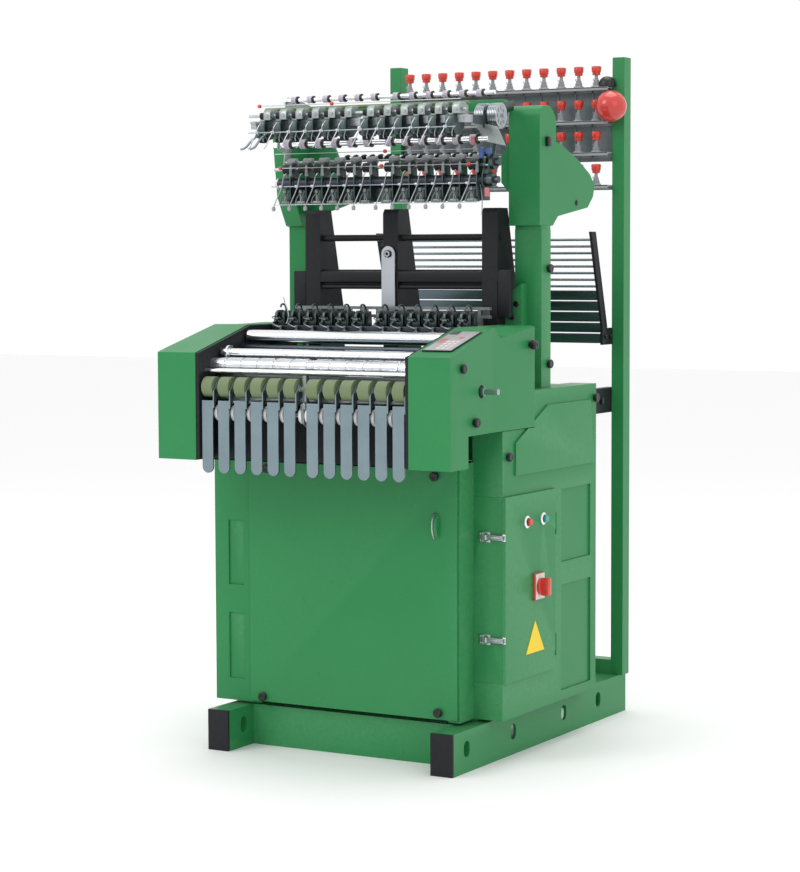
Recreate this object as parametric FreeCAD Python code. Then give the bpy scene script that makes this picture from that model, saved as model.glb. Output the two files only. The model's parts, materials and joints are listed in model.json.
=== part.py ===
"""Needle loom for narrow fabric, built piece by piece.

Millimetres. +X is the operator's right, -Y the front, +Z up.
The origin is on the floor, at the middle of the overall footprint.
"""
import FreeCAD
import Part
import math
import os

V = FreeCAD.Vector

# ---- lanes: one tape is woven in each ---------------------------------------
LANES = 12
PITCH = 51.0            # from one lane to the next
CENTRE_GAP = 17.8       # extra room beside the centre bracket
FIT = 0.05              # radial running clearance of a shaft in its bore
SEAT = 0.3              # gap between pieces that lie against each other
SKIN = 4.0              # sheet and cast cover thickness

# ---- base ------------------------------------------------------------------
BASE_HALF = 377.5       # half width over the side beams
BEAM_W = 65.0
BEAM_H = 111.0
BEAM_WALL = 8.0
FOOT_FRONT = -468.0
FOOT_CAP = 8.0
BASE_REAR = 593.0
CROSS_FRONT = -343.0
CROSS_DEPTH = 60.0
REAR_BEAM_H = 154.0
FOOT_HOLE = (31.0, 43.0)        # slot for a lifting bar: along, high
FOOT_HOLES_Y = (-390.0, -127.0, 181.0, 405.0)
FOOT_HOLE_Z = 62.0

# ---- body ------------------------------------------------------------------
CASE_BOTTOM = 119.0
CASE_TOP = 978.0
CASE_HALF = 424.0       # outer side planes of the casings
CASE_FRONT_L = -357.0
CASE_FRONT_R = -279.0
CASE_REAR = 288.0
COVER_REAR = -105.0
WALL_X = 345.0          # outer face of the inner frame plates
WALL_T = 15.0
BED_T = 30.0
BED_TOP = CASE_TOP - SKIN - SEAT
BED_BOTTOM = BED_TOP - BED_T
BED_FRONT = -271.0
DOOR_X = (-306.0, 335.0)
DOOR_Z = (125.0, 795.0)
DOOR_T = 8.0

RAISED_PANEL = [(-211, 759), (-211, 845), (-22, 935), (243, 935), (269, 759)]   # y, z
SUNK_PANELS = ((68.0, 252.0, 500.0, 700.0), (68.0, 254.0, 146.0, 438.0))        # y, y, z, z
STRIP_SLOTS = ((439.0, 616.0), (180.0, 362.0))      # z of the slots in the left front strip
STRIP_SLOT_X = (-380.0, -331.0)

# ---- black knob screws -----------------------------------------------------
KNOB_R = 9.0
KNOB_H = 12.0
PANEL_KNOBS = ((-264, 139), (281, 144), (272, 763), (-246, 763))    # x, z on the front panel
COVER_KNOBS = ((-530, 1053), (-459, 914), (-135, 1100))             # y, z on an end cover
CASING_KNOBS = ((-250, 811), (CASE_REAR - 12, 938))                 # y, z on a casing
ARM_KNOBS_Z = (1042, 1299)

# ---- electrical cabinet ----------------------------------------------------
CAB_X = (292.0, 424.0)
CAB_Y = (-279.0, 14.0)
CAB_Z = (217.0, 707.0)
CAB_DOOR_T = 9.0
HINGE_R = 4.0
BUTTON_R = 11.0
BUTTON_TRAVEL = 5.0
BUTTON_Y = (-160.0, -64.0)
BUTTON_Z = 633.0
SWITCH_Y = -96.0
SWITCH_Z = 455.0
LATCH_Z = (602.0, 332.0)

# ---- end covers ------------------------------------------------------------
COVER_FRONT = -593.0
COVER_X = (322.0, 442.0)
COVER_TAPER = 12.0      # the side draws in towards the casing
COVER_BOTTOM = 800.0
COVER_NOTCH_Z = 881.0
COVER_NOTCH_Y = (-492.0, -340.0)
COVER_LIP_Z = 1083.0
COVER_RIDGE = (-342.0, 1150.0)
PLATE_T = 10.0          # roller end plates
SHAFT_END_X = 483.0

# ---- roller bay: (y, z) of each axis, radius --------------------------------
RUBBER = (-563.0, 993.0, 27.0)
RUBBER_W = 33.0
ROLLER_SHAFT_R = 6.0
TAKE_UP_R = 40.0
TAKE_UP_Z = 985.0
NIP = 0.5               # tape thickness left between rubber and take-up roller
GUIDE_ROD = (-557.0, 1036.0, 6.0)
RING_ROLLER = (-520.0, 1048.0, 21.0)
GUIDE_ROLLER = (-485.0, 1079.0, 12.5)
BREAST_ROLLER = (-357.0, 1119.0, 17.5)
JOURNAL_R = 8.0
ROLLER_HALF = 306.0
BUSH_ROD = (-555.0, 925.0, 5.0)
BUSH_R = 22.0
BUSH_W = 10.0
CRANK = (-414.0, 990.0, 9.0)
CRANK_END_R = 8.0

# ---- presser levers ---------------------------------------------------------
TONGUE_W = 34.0
TONGUE_T = 6.0
TONGUE_FRONT = -586.0
TONGUE_Z = (767.0, 958.0)
CHEEK_T = 4.0
CHEEK_GAP = 1.0
CHEEK_R = 13.0
APRON_Y = -530.0
APRON_TOP = 935.0
APRON_BOTTOM = 797.0

# ---- drive inside the body ---------------------------------------------------
MAIN = (-180.0, 780.0, 12.0)
MOTOR = (-60.0, 300.0)
MOTOR_R = 70.0
MOTOR_X = (-305.0, -80.0)
PULLEY_X = (-376.0, -354.0)
BIG_PULLEY_R = 88.0
SMALL_PULLEY_R = 42.0

# ---- weaving heads ----------------------------------------------------------
HEAD_Y = -207.0
HEAD_Z = 1147.0
HEAD_H = 40.0
HEAD_BAR = (-245.0, -165.0)     # front and back of the bar under the heads
BATTEN_PIVOT = (-120.0, 1020.0)
BATTEN_R = 9.0
BATTEN_PIN_R = 5.0

# ---- arms and top ----------------------------------------------------------
ARM_X = (320.0, 400.0)
ARM_Y = (-6.0, 50.0)
ARM_TOP = 1700.0
HOOD_X = (308.0, 402.0)
HOOD_TOP = 1735.0
POST_PLATES_X = (-300.0, -50.0, 257.0)
POST_PLATE_W = 47.0
POST_PLATE_Y = -77.0
CROSS_BARS_Z = (1384.0, 1288.0, 1258.0)
CROSS_BAR_R = 9.0
LEVER_Z = 1340.0        # pivot of the steel lever on the middle plate
LEVER_LOW_Z = 1190.0
LEVER_W = 42.0
LEVER_PIN_R = 6.0
FEED_UP = (-307.0, 1712.0, 9.0)     # black nip rollers, upper row
FEED_LOW = (-182.0, 1572.0, 13.0)   # black nip rollers, lower row
TOP_SHAFT = (-147.0, 1763.0, 6.0)
MID_SHAFT = (-182.0, 1640.0, 8.0)
FEED_SHAFT_R = 4.0
WIRES_UP = (-336.0, 1666.0, 2.5)
WIRES_LOW = (-224.0, 1524.0, 2.5)
DISCS = (-147.0, 1701.0, 34.0)      # ribbed drive discs
DISC_AXLE_R = 5.0
TOP_BEAM = (-60.0, -20.0, 1720.0, 1750.0)
UPPER_RAIL = (-300.0, -270.0, 1678.0, 1698.0)
LOWER_TUBE = (-182.0, 1533.0, 15.0)
FEED_PLATES_X = (-318.0, 318.0)

# ---- creel behind the loom ---------------------------------------------------
POST_X = (350.0, 388.0)
POST_Y = (548.0, 593.0)
POST_H = 1900.0
CREEL_PITCH = 56.0
CREEL_ROWS = (1872.0, 1776.0, 1686.0, 1592.0)
CREEL_Y = 530.0
CREEL_RAIL_DROP = 56.0
CREEL_BACK = POST_Y[0] + 20.0
CAP_R = 14.5
CAP_H = 26.0
LAMP_R = 45.0
GUIDE_TOP = (401.0, 1401.0)     # warp guide side plates, upper end (y, z)
GUIDE_LOW = (479.0, 1131.0)
GUIDE_W = 32.0
GUIDE_HALF = 362.0

NODES = {}


def lane_x(i):
    """Middle of lane i, counted from the left."""
    side = -1.0 if i < LANES / 2 else 1.0
    return (i - (LANES - 1) / 2.0) * PITCH + side * CENTRE_GAP / 2.0


def box(x0, x1, y0, y1, z0, z1):
    """Box between two corners, given in any order."""
    low = V(min(x0, x1), min(y0, y1), min(z0, z1))
    return Part.makeBox(abs(x1 - x0), abs(y1 - y0), abs(z1 - z0), low)


def rod_x(x0, x1, y, z, r):
    """Round bar along X."""
    return Part.makeCylinder(r, abs(x1 - x0), V(min(x0, x1), y, z), V(1, 0, 0))


def rod_y(y0, y1, x, z, r):
    """Round bar along Y."""
    return Part.makeCylinder(r, abs(y1 - y0), V(x, min(y0, y1), z), V(0, 1, 0))


def rod_z(z0, z1, x, y, r):
    """Round bar along Z."""
    return Part.makeCylinder(r, abs(z1 - z0), V(x, y, min(z0, z1)), V(0, 0, 1))


def side_prism(x0, x1, outline):
    """Outline of (y, z) points pulled along X."""
    points = [V(min(x0, x1), y, z) for y, z in outline]
    return Part.Face(Part.makePolygon(points + points[:1])).extrude(V(abs(x1 - x0), 0, 0))


def front_prism(y0, y1, outline):
    """Outline of (x, z) points pulled along Y."""
    points = [V(x, min(y0, y1), z) for x, z in outline]
    return Part.Face(Part.makePolygon(points + points[:1])).extrude(V(0, abs(y1 - y0), 0))


def slot_x(x0, x1, y, z, along, high):
    """Cutter for an upright slot with round ends, along X."""
    r = along / 2.0
    middle = box(x0, x1, y - r, y + r, z - high / 2.0 + r, z + high / 2.0 - r)
    ends = [rod_x(x0, x1, y, z + s * (high / 2.0 - r), r) for s in (-1, 1)]
    return middle.fuse(ends)


def mirrored(shape):
    """The same piece on the other side of the middle plane."""
    return shape.mirror(V(0, 0, 0), V(1, 0, 0))


def joined(shapes):
    """One solid out of overlapping solids."""
    return shapes[0].fuse(shapes[1:]).removeSplitter()


def grouped(shapes):
    """Separate solids kept in one node."""
    return Part.makeCompound(shapes)


def add(node, shape):
    """Register a finished piece."""
    NODES[node] = shape


# ---- base and frame ----------------------------------------------------------
def side_beam():
    """Right side beam: a channel open to the inside, with bar slots."""
    inner = BASE_HALF - BEAM_W
    beam = box(inner, BASE_HALF, FOOT_FRONT + FOOT_CAP, BASE_REAR, 0, BEAM_H)
    hollow = box(inner - 1, BASE_HALF - BEAM_WALL, CROSS_FRONT + CROSS_DEPTH, BASE_REAR - CROSS_DEPTH,
                 BEAM_WALL, BEAM_H - BEAM_WALL)
    beam = beam.cut(hollow)
    for y in FOOT_HOLES_Y:
        beam = beam.cut(slot_x(inner - 1, BASE_HALF + 1, y, FOOT_HOLE_Z, *FOOT_HOLE))
    return beam


def base_frame():
    """Welded base: two side beams and two cross beams."""
    right = side_beam()
    inner = BASE_HALF - BEAM_W
    front = box(-inner - 1, inner + 1, CROSS_FRONT, CROSS_FRONT + CROSS_DEPTH, 0, BEAM_H)
    front = front.cut(box(-inner + 20, inner - 20, CROSS_FRONT + BEAM_WALL, CROSS_FRONT + CROSS_DEPTH + 1,
                          BEAM_WALL, BEAM_H - BEAM_WALL))
    rear = box(-inner - 1, inner + 1, BASE_REAR - CROSS_DEPTH, BASE_REAR, 0, BEAM_H)
    upper = box(-POST_X[0], POST_X[0], POST_Y[0], POST_Y[1], BEAM_H - 1, REAR_BEAM_H)
    return joined([right, mirrored(right), front, rear, upper])


def foot_caps():
    """Black end caps on the front feet, welded to the beams."""
    caps = []
    for s in (-1, 1):
        inner = s * (BASE_HALF - BEAM_W)
        caps.append(box(inner, s * BASE_HALF, FOOT_FRONT, FOOT_FRONT + FOOT_CAP, 0, BEAM_H))
    return grouped(caps)


def inner_frame():
    """Two upright plates, a bottom tie and the bed, welded together."""
    bottom = BEAM_H
    plate = box(WALL_X - WALL_T, WALL_X, BED_FRONT, CASE_REAR - SKIN - 2, bottom, BED_TOP)
    window = box(WALL_X - WALL_T - 1, WALL_X + 1, CAB_Y[0] - 10, CAB_Y[1] + 12, CAB_Z[0] - 12, CAB_Z[1] + 12)
    bore = rod_x(-WALL_X - 1, WALL_X + 1, MAIN[0], MAIN[1], MAIN[2] + FIT)
    rear_window = box(WALL_X - WALL_T - 1, WALL_X + 1, CAB_Y[1] + 36, CASE_REAR - 40, CAB_Z[0] - 50,
                      CASE_TOP - 90)
    right = plate.cut(window).cut(rear_window).cut(bore)
    left = mirrored(plate).cut(box(-WALL_X - 1, -WALL_X + WALL_T + 1, -130, 130, 190, 650)).cut(bore)
    rear = CASE_REAR - SKIN - 2
    bed = box(-WALL_X, WALL_X, BED_FRONT, rear, BED_BOTTOM, BED_TOP)
    bed = bed.cut(box(-270, 270, -60, 200, BED_BOTTOM - 1, BED_TOP + 1))
    ears = box(-ARM_X[1], ARM_X[1], ARM_Y[0] - 20, ARM_Y[1] + 20, BED_BOTTOM, BED_TOP)
    ears = ears.cut(box(-WALL_X, WALL_X, ARM_Y[0] - 21, ARM_Y[1] + 21, BED_BOTTOM - 1, BED_TOP + 1))
    front_tie = box(-WALL_X, WALL_X, BED_FRONT, BED_FRONT + 40, bottom, bottom + 12)
    rear_tie = box(-WALL_X, WALL_X, rear - 40, rear, bottom, bottom + 12)
    motor_shelf = box(-WALL_X, WALL_X, -140, 100, bottom, bottom + 12)
    side_foot = box(-BASE_HALF, -WALL_X, -200, 200, bottom, bottom + 8)
    # two brackets that carry the roller bay out to the front
    arms = []
    for s in (-1, 1):
        outline = [(BED_FRONT + 1, BED_BOTTOM - 55), (BED_FRONT + 1, BED_TOP), (-470, BED_TOP),
                   (-470, BED_BOTTOM - 30)]
        arm = side_prism(s * (WALL_X - WALL_T), s * WALL_X, outline)
        arms.append(arm.cut(rod_x(-400, 400, CRANK[0], CRANK[1], CRANK[2] + 4)))
    back = box(-WALL_X, WALL_X, rear - 1, rear + 3, bottom, BED_TOP)
    sheets = [bed, ears, front_tie, rear_tie, motor_shelf, side_foot, mirrored(side_foot), back]
    return joined([right, left] + sheets + arms)


# ---- casings ---------------------------------------------------------------
def raised_panel():
    """Raised field on a casing's side, clear of the end cover."""
    field = side_prism(CASE_HALF - 1, CASE_HALF + 5, RAISED_PANEL)
    return field.cut(box(CASE_HALF - 2, CASE_HALF + 6, COVER_NOTCH_Y[1] - 1, COVER_REAR + 2,
                         COVER_NOTCH_Z - 2, CASE_TOP))


def right_side_casing():
    """Cast side casing with raised and sunk panels and a bay for the cabinet."""
    outline = [(CASE_FRONT_R, CASE_BOTTOM), (CASE_FRONT_R, COVER_NOTCH_Z - 2),
               (COVER_REAR + 2, COVER_NOTCH_Z - 2),
               (COVER_REAR + 2, CASE_TOP), (CASE_REAR, CASE_TOP), (CASE_REAR, CASE_BOTTOM)]
    inner = [(CASE_FRONT_R + SKIN, CASE_BOTTOM - 1), (CASE_FRONT_R + SKIN, COVER_NOTCH_Z),
             (COVER_REAR + 2 + SKIN, COVER_NOTCH_Z), (COVER_REAR + 2 + SKIN, CASE_TOP - SKIN),
             (CASE_REAR - SKIN, CASE_TOP - SKIN), (CASE_REAR - SKIN, CASE_BOTTOM - 1)]
    shell = side_prism(WALL_X + SEAT, CASE_HALF, outline).cut(side_prism(WALL_X, CASE_HALF - SKIN, inner))
    shell = shell.fuse(raised_panel())
    for y0, y1, z0, z1 in SUNK_PANELS:
        shell = shell.fuse(box(CASE_HALF - SKIN - 5, CASE_HALF - 1, y0 - SKIN, y1 + SKIN, z0 - SKIN,
                               z1 + SKIN))
        shell = shell.cut(box(CASE_HALF - 5, CASE_HALF + 1, y0, y1, z0, z1))
    arm_hole = box(ARM_X[0] - 1, ARM_X[1] + 1, ARM_Y[0] - 1, ARM_Y[1] + 1, CASE_TOP - 8, CASE_TOP + 1)
    shell = shell.cut(arm_hole)
    # front return beside the door, and the ledge under and over the cabinet
    jamb = box(DOOR_X[1] + 1, DOOR_X[1] + 1 + SKIN, CASE_FRONT_L, CASE_FRONT_R + SKIN, CASE_BOTTOM,
               APRON_BOTTOM - 1)
    sill = box(DOOR_X[1] + 1, CASE_HALF - 1, CASE_FRONT_R, CASE_FRONT_R + SKIN, CASE_BOTTOM, CAB_Z[0])
    head = box(DOOR_X[1] + 1, CASE_HALF - 1, CASE_FRONT_R, CASE_FRONT_R + SKIN, CAB_Z[1], COVER_NOTCH_Z - 2)
    flange = box(DOOR_X[1] - 30, DOOR_X[1] + 2, CASE_FRONT_L, CASE_FRONT_L + SKIN, CASE_BOTTOM,
                 APRON_BOTTOM - 1)
    casing = joined([shell, jamb, flange, sill, head])
    return casing.cut(box(CAB_X[0] - 5, CASE_HALF + 9, CAB_Y[0] - SEAT, CAB_Y[1] + 9, CAB_Z[0] - SEAT,
                          CAB_Z[1] + SEAT))


def left_side_casing():
    """Side casing with a front strip that carries two sunk slots."""
    outline = [(CASE_FRONT_L, CASE_BOTTOM), (CASE_FRONT_L, APRON_BOTTOM - 1),
               (COVER_NOTCH_Y[1] + 2, APRON_BOTTOM - 1),
               (COVER_NOTCH_Y[1] + 2, COVER_NOTCH_Z - 2), (COVER_REAR + 2, COVER_NOTCH_Z - 2),
               (COVER_REAR + 2, CASE_TOP), (CASE_REAR, CASE_TOP), (CASE_REAR, CASE_BOTTOM)]
    inner = [(CASE_FRONT_L + SKIN, CASE_BOTTOM - 1), (CASE_FRONT_L + SKIN, APRON_BOTTOM),
             (COVER_NOTCH_Y[1] + 2 + SKIN, APRON_BOTTOM), (COVER_NOTCH_Y[1] + 2 + SKIN, COVER_NOTCH_Z),
             (COVER_REAR + 2 + SKIN, COVER_NOTCH_Z), (COVER_REAR + 2 + SKIN, CASE_TOP - SKIN),
             (CASE_REAR - SKIN, CASE_TOP - SKIN), (CASE_REAR - SKIN, CASE_BOTTOM - 1)]
    shell = side_prism(-CASE_HALF, -WALL_X - SEAT, outline)
    shell = shell.cut(side_prism(-CASE_HALF + SKIN, -WALL_X, inner))
    shell = shell.fuse(mirrored(raised_panel()))
    strip = box(-WALL_X - 1, DOOR_X[0] + 30, CASE_FRONT_L, CASE_FRONT_L + SKIN, CASE_BOTTOM, APRON_BOTTOM - 1)
    shell = shell.fuse(strip)
    x0, x1 = STRIP_SLOT_X
    for z0, z1 in STRIP_SLOTS:
        lining = box(x0 - SKIN, x1 + SKIN, CASE_FRONT_L + 1, CASE_FRONT_L + SKIN + 5, z0 - 4, z1 + 4)
        shell = shell.fuse(lining).cut(box(x0, x1, CASE_FRONT_L - 1, CASE_FRONT_L + 5, z0, z1))
    arm_hole = box(-ARM_X[1] - 1, -ARM_X[0] + 1, ARM_Y[0] - 1, ARM_Y[1] + 1, CASE_TOP - 8, CASE_TOP + 1)
    return shell.cut(arm_hole).removeSplitter()


def pan(x0, x1, y_face, depth, z0, z1, wall):
    """Folded sheet panel facing -Y, with edges turned back."""
    outer = box(x0, x1, y_face, y_face + depth, z0, z1)
    return outer.cut(box(x0 + wall, x1 - wall, y_face + wall, y_face + depth + 1, z0 + wall, z1 - wall))


def front_panel():
    """Large front panel before the drive, with a crescent pull pressed out of it."""
    face = CASE_FRONT_L - SEAT - DOOR_T
    sheet = pan(DOOR_X[0], DOOR_X[1], face, DOOR_T, DOOR_Z[0], DOOR_Z[1], 2.5)
    bow = Part.makeCylinder(52, 9.0, V(273.5, face + 38, 634), V(1, 0, 0))
    bow = bow.common(box(270, 286, face - 14, face + 1, 598, 670))
    return joined([sheet, bow])


# ---- cabinet ---------------------------------------------------------------
def cabinet_box():
    """Sheet metal box, open on its right side, with a hinge barrel at the back."""
    x0, x1 = CAB_X
    outer = box(x0, x1, CAB_Y[0], CAB_Y[1], CAB_Z[0], CAB_Z[1])
    return outer.cut(box(x0 + 3, x1 + 1, CAB_Y[0] + 3, CAB_Y[1] - 3, CAB_Z[0] + 3, CAB_Z[1] - 3))


def hinge_place():
    """Axis of the cabinet door's hinge: x, y."""
    return CAB_X[1] + CAB_DOOR_T - HINGE_R + 2.0, CAB_Y[1] + HINGE_R + 1.0


def hinge_levels():
    """Bottom of each of the two hinges."""
    return (CAB_Z[0] + 50.0, CAB_Z[1] - 110.0)


def hinge_pins():
    """Two hinge leaves with pins, welded to the back of the box."""
    x, y = hinge_place()
    pieces = []
    for z in hinge_levels():
        pin = rod_z(z - 15, z + 45, x, y, 2.5)
        knuckle = rod_z(z - 15, z - SEAT, x, y, HINGE_R)
        leaf = box(CAB_X[1] - 10, x, CAB_Y[1] - 1, CAB_Y[1] + 3, z - 15, z - SEAT)
        pieces.append(joined([pin, knuckle, leaf]))
    return pieces


def cabinet_door():
    """Door with turned edges, hinge knuckles and openings for the controls."""
    x0 = CAB_X[1] + SEAT
    x1 = CAB_X[1] + CAB_DOOR_T
    outer = box(x0, x1, CAB_Y[0], CAB_Y[1], CAB_Z[0], CAB_Z[1])
    hollow = box(x0 - 1, x1 - 2.5, CAB_Y[0] + 3, CAB_Y[1] - 12, CAB_Z[0] + 3, CAB_Z[1] - 3)
    door = outer.cut(hollow)
    x, y = hinge_place()
    for z in hinge_levels():
        knuckle = rod_z(z, z + 40, x, y, HINGE_R)
        leaf = box(x - 2, x1, CAB_Y[1] - 2, y, z, z + 40)
        door = door.cut(box(x0 - 1, x1 + 1, CAB_Y[1] - 3.0, CAB_Y[1] + 1, z - 16, z - SEAT / 2))
        door = door.fuse([knuckle, leaf]).cut(rod_z(z - 1, z + 46, x, y, 2.5 + FIT))
    for y in BUTTON_Y:
        door = door.cut(rod_x(x0 - 1, x1 + 1, y, BUTTON_Z, BUTTON_R - 2))
    door = door.cut(rod_x(x0 - 1, x1 + 1, SWITCH_Y, SWITCH_Z, 8))
    return door


def button_collars():
    """Bezels round the two push buttons and the plate under the main switch."""
    face = CAB_X[1] + CAB_DOOR_T
    pieces = []
    for y in BUTTON_Y:
        outer = rod_x(face - 12, face + 4, y, BUTTON_Z, BUTTON_R - 2 - SEAT)
        flange = rod_x(face + SEAT / 2, face + 4, y, BUTTON_Z, BUTTON_R + 4)
        bore = rod_x(face - 13, face + 5, y, BUTTON_Z, BUTTON_R - 5 + FIT)
        pieces.append(joined([outer, flange]).cut(bore))
    plate = box(face + SEAT / 2, face + 9, SWITCH_Y - 28, SWITCH_Y + 28, SWITCH_Z - 36, SWITCH_Z + 36)
    neck = rod_x(face - 10, face + 1, SWITCH_Y, SWITCH_Z, 8 - SEAT)
    pieces.append(joined([plate, neck]).cut(rod_x(face - 11, face + 10, SWITCH_Y, SWITCH_Z, 4 + FIT)))
    return pieces


def push_button(y):
    """Round push button on a stem."""
    face = CAB_X[1] + CAB_DOOR_T
    head = rod_x(face + 4 + BUTTON_TRAVEL + 1, face + 18, y, BUTTON_Z, BUTTON_R)
    stem = rod_x(face - 14, face + 12, y, BUTTON_Z, BUTTON_R - 5)
    return joined([head, stem])


def main_switch():
    """Rotary main switch handle."""
    face = CAB_X[1] + CAB_DOOR_T
    disc = rod_x(face + 9 + SEAT, face + 18, SWITCH_Y, SWITCH_Z, 23)
    grip = box(face + 17, face + 38, SWITCH_Y - 8, SWITCH_Y + 8, SWITCH_Z - 24, SWITCH_Z + 24)
    stem = rod_x(face - 12, face + 12, SWITCH_Y, SWITCH_Z, 4)
    return joined([disc, grip, stem])


def latch(z):
    """Toggle latch lever on the cabinet's front face, pivoting on its own pin."""
    y = CAB_Y[0]
    lever = box(CAB_X[1] - 46, CAB_X[1] + 9, y - 9, y - 6, z - 7, z + 7)
    eye = rod_z(z - 7, z + 7, CAB_X[1] - 46, y - 7.5, 4.5)
    hook = box(CAB_X[1] + 5, CAB_X[1] + 9, y - 9, y - 2, z - 7, z + 7)
    return joined([lever, eye, hook]).cut(rod_z(z - 8, z + 8, CAB_X[1] - 46, y - 7.5, 2 + FIT))


def latch_bases():
    """Base plates with the latch pins, and the keepers' plates."""
    y = CAB_Y[0]
    x = CAB_X[1] - 46
    pieces = []
    for z in LATCH_Z:
        plate = box(x - 22, x + 12, y - 2, y + 1, z - 13, z + 13)
        pin = rod_z(z - 12, z + 12, x, y - 7.5, 2)
        ears = [box(x - 5, x + 5, y - 12, y - 1, z + s * 7.3, z + s * 8.7) for s in (-1, 1)]
        pieces.append(joined([plate, pin] + ears))
    return pieces


# ---- end covers and roller bay ----------------------------------------------
def cover_outline(inset):
    """Side outline of an end cover, drawn in by an inset: (y, z) points."""
    rise = COVER_RIDGE[1] - COVER_LIP_Z
    run = COVER_RIDGE[0] - COVER_FRONT
    slope = rise / run
    lip = COVER_LIP_Z + slope * inset - inset * math.hypot(1, slope)
    back = COVER_REAR - inset
    notch = COVER_NOTCH_Z + inset
    return [(COVER_FRONT + inset, COVER_BOTTOM + inset), (COVER_FRONT + inset, lip),
            (COVER_RIDGE[0], COVER_RIDGE[1] - inset), (back, COVER_RIDGE[1] - inset), (back, notch),
            (COVER_NOTCH_Y[0] - inset, notch), (COVER_NOTCH_Y[0] - inset, COVER_BOTTOM + inset)]


def end_cover():
    """Right end cover: a deep shell, open to the middle and over the notch."""
    x0, x1 = COVER_X
    outer = side_prism(x0, x1, cover_outline(0))
    # the side draws in towards the casing behind the roller bay
    wedge = Part.Face(Part.makePolygon([V(x1 - COVER_TAPER, COVER_NOTCH_Y[1], 0), V(x1 - COVER_TAPER, 0, 0),
                                        V(x1 + 9, 0, 0), V(x1 + 9, COVER_FRONT, 0),
                                        V(x1, COVER_FRONT + 40, 0),
                                        V(x1 - COVER_TAPER, COVER_NOTCH_Y[1], 0)]))
    wedge = wedge.extrude(V(0, 0, 1400))
    outer = outer.cut(wedge)
    inner = side_prism(x0 - 1, x1 - SKIN - COVER_TAPER, cover_outline(SKIN))
    opening = box(x0 - 1, x1 - SKIN - COVER_TAPER, COVER_NOTCH_Y[0] - SKIN, COVER_REAR - SKIN,
                  COVER_NOTCH_Z - 1, COVER_NOTCH_Z + SKIN + 1)
    shell = outer.cut(inner).cut(opening)
    # scooped shoulder behind the ridge
    scoop = Part.Wire(Part.makePolygon([V(x1 + 1, -300, 1113), V(x1 + 1, -300, 1160), V(x1 - 64, -300, 1151),
                                        V(x1 + 1, -300, 1113)]))
    tip = Part.Wire(Part.makePolygon([V(x1 + 1, COVER_REAR + 1, 1141), V(x1 + 1, COVER_REAR + 1, 1160),
                                      V(x1 - 24, COVER_REAR + 1, 1151), V(x1 + 1, COVER_REAR + 1, 1141)]))
    fore = Part.Wire(Part.makePolygon([V(x1 + 1, COVER_RIDGE[0], 1149.5), V(x1 + 1, COVER_RIDGE[0], 1160),
                                       V(x1 - 2, COVER_RIDGE[0], 1151), V(x1 + 1, COVER_RIDGE[0], 1149.5)]))
    filler = side_prism(x1 - SKIN - COVER_TAPER - 62, x1 - COVER_TAPER - 1,
                        [(COVER_RIDGE[0] + 2, 1100), (COVER_RIDGE[0] + 2, 1149), (COVER_REAR - 1, 1149),
                         (COVER_REAR - 1, 1100)])
    shell = shell.fuse(filler)
    for pair in ((fore, scoop), (scoop, tip)):
        shell = shell.cut(Part.makeLoft(list(pair), True, True))
    shell = shell.cut(rod_x(x0, x1 + 1, CRANK[0], CRANK[1], CRANK[2] + 8))
    shell = shell.cut(box(x0 - 1, WALL_X + 1, BED_FRONT - 10, COVER_REAR + 1, COVER_BOTTOM, BED_TOP + SEAT))
    return shell.removeSplitter()


def end_plate():
    """Right black end plate that carries the roller journals."""
    x0 = COVER_X[0] - PLATE_T
    plate = side_prism(x0, COVER_X[0] - SEAT, cover_outline(2))
    for y, z, _ in (RING_ROLLER, GUIDE_ROLLER, BREAST_ROLLER):
        plate = plate.cut(rod_x(x0 - 1, COVER_X[0] + 1, y, z, JOURNAL_R + FIT))
    take_up = (RUBBER[0] + RUBBER[2] + NIP + TAKE_UP_R, TAKE_UP_Z)
    plate = plate.cut(rod_x(x0 - 1, COVER_X[0] + 1, take_up[0], take_up[1], JOURNAL_R + FIT))
    plate = plate.cut(rod_x(x0 - 1, COVER_X[0] + 1, RUBBER[0], RUBBER[1], ROLLER_SHAFT_R + FIT))
    plate = plate.cut(rod_x(x0 - 1, COVER_X[0] + 1, CRANK[0], CRANK[1], CRANK[2] + FIT))
    return plate.cut(box(x0 - 1, COVER_X[0] + 1, BED_FRONT - SEAT, COVER_REAR, COVER_BOTTOM, BED_TOP + SEAT))


def journalled(y, z, r):
    """Roller with a journal at each end."""
    reach = COVER_X[0] - SEAT
    body = rod_x(-ROLLER_HALF, ROLLER_HALF, y, z, r)
    return body.fuse(rod_x(-reach, reach, y, z, JOURNAL_R))


def ring_roller():
    """Tape guide roller with one raised ring section for each lane."""
    y, z, r = RING_ROLLER
    body = journalled(y, z, r - 3)
    rings = [rod_x(lane_x(i) - PITCH / 2 + 3, lane_x(i) + PITCH / 2 - 3, y, z, r) for i in range(LANES)]
    return joined([body] + rings)


def guide_roller():
    """Slim chromed roller with a flange at its left end."""
    y, z, r = GUIDE_ROLLER
    flange = rod_x(-ROLLER_HALF + 18, -ROLLER_HALF + 24, y, z, r + 8)
    return joined([journalled(y, z, r), flange])


def take_up_roller():
    """Rough roller that pulls the tape, hidden behind the rubber rollers."""
    y = RUBBER[0] + RUBBER[2] + NIP + TAKE_UP_R
    return journalled(y, TAKE_UP_Z, TAKE_UP_R)


def rubber_sleeves():
    """Rubber sleeves, one for each lane."""
    y, z, r = RUBBER
    sleeves = []
    for i in range(LANES):
        x = lane_x(i)
        sleeve = rod_x(x - RUBBER_W / 2, x + RUBBER_W / 2, y, z, r)
        bore = rod_x(x - RUBBER_W, x + RUBBER_W, y, z, ROLLER_SHAFT_R)
        sleeves.append(sleeve.cut(bore))
    return sleeves


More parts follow.
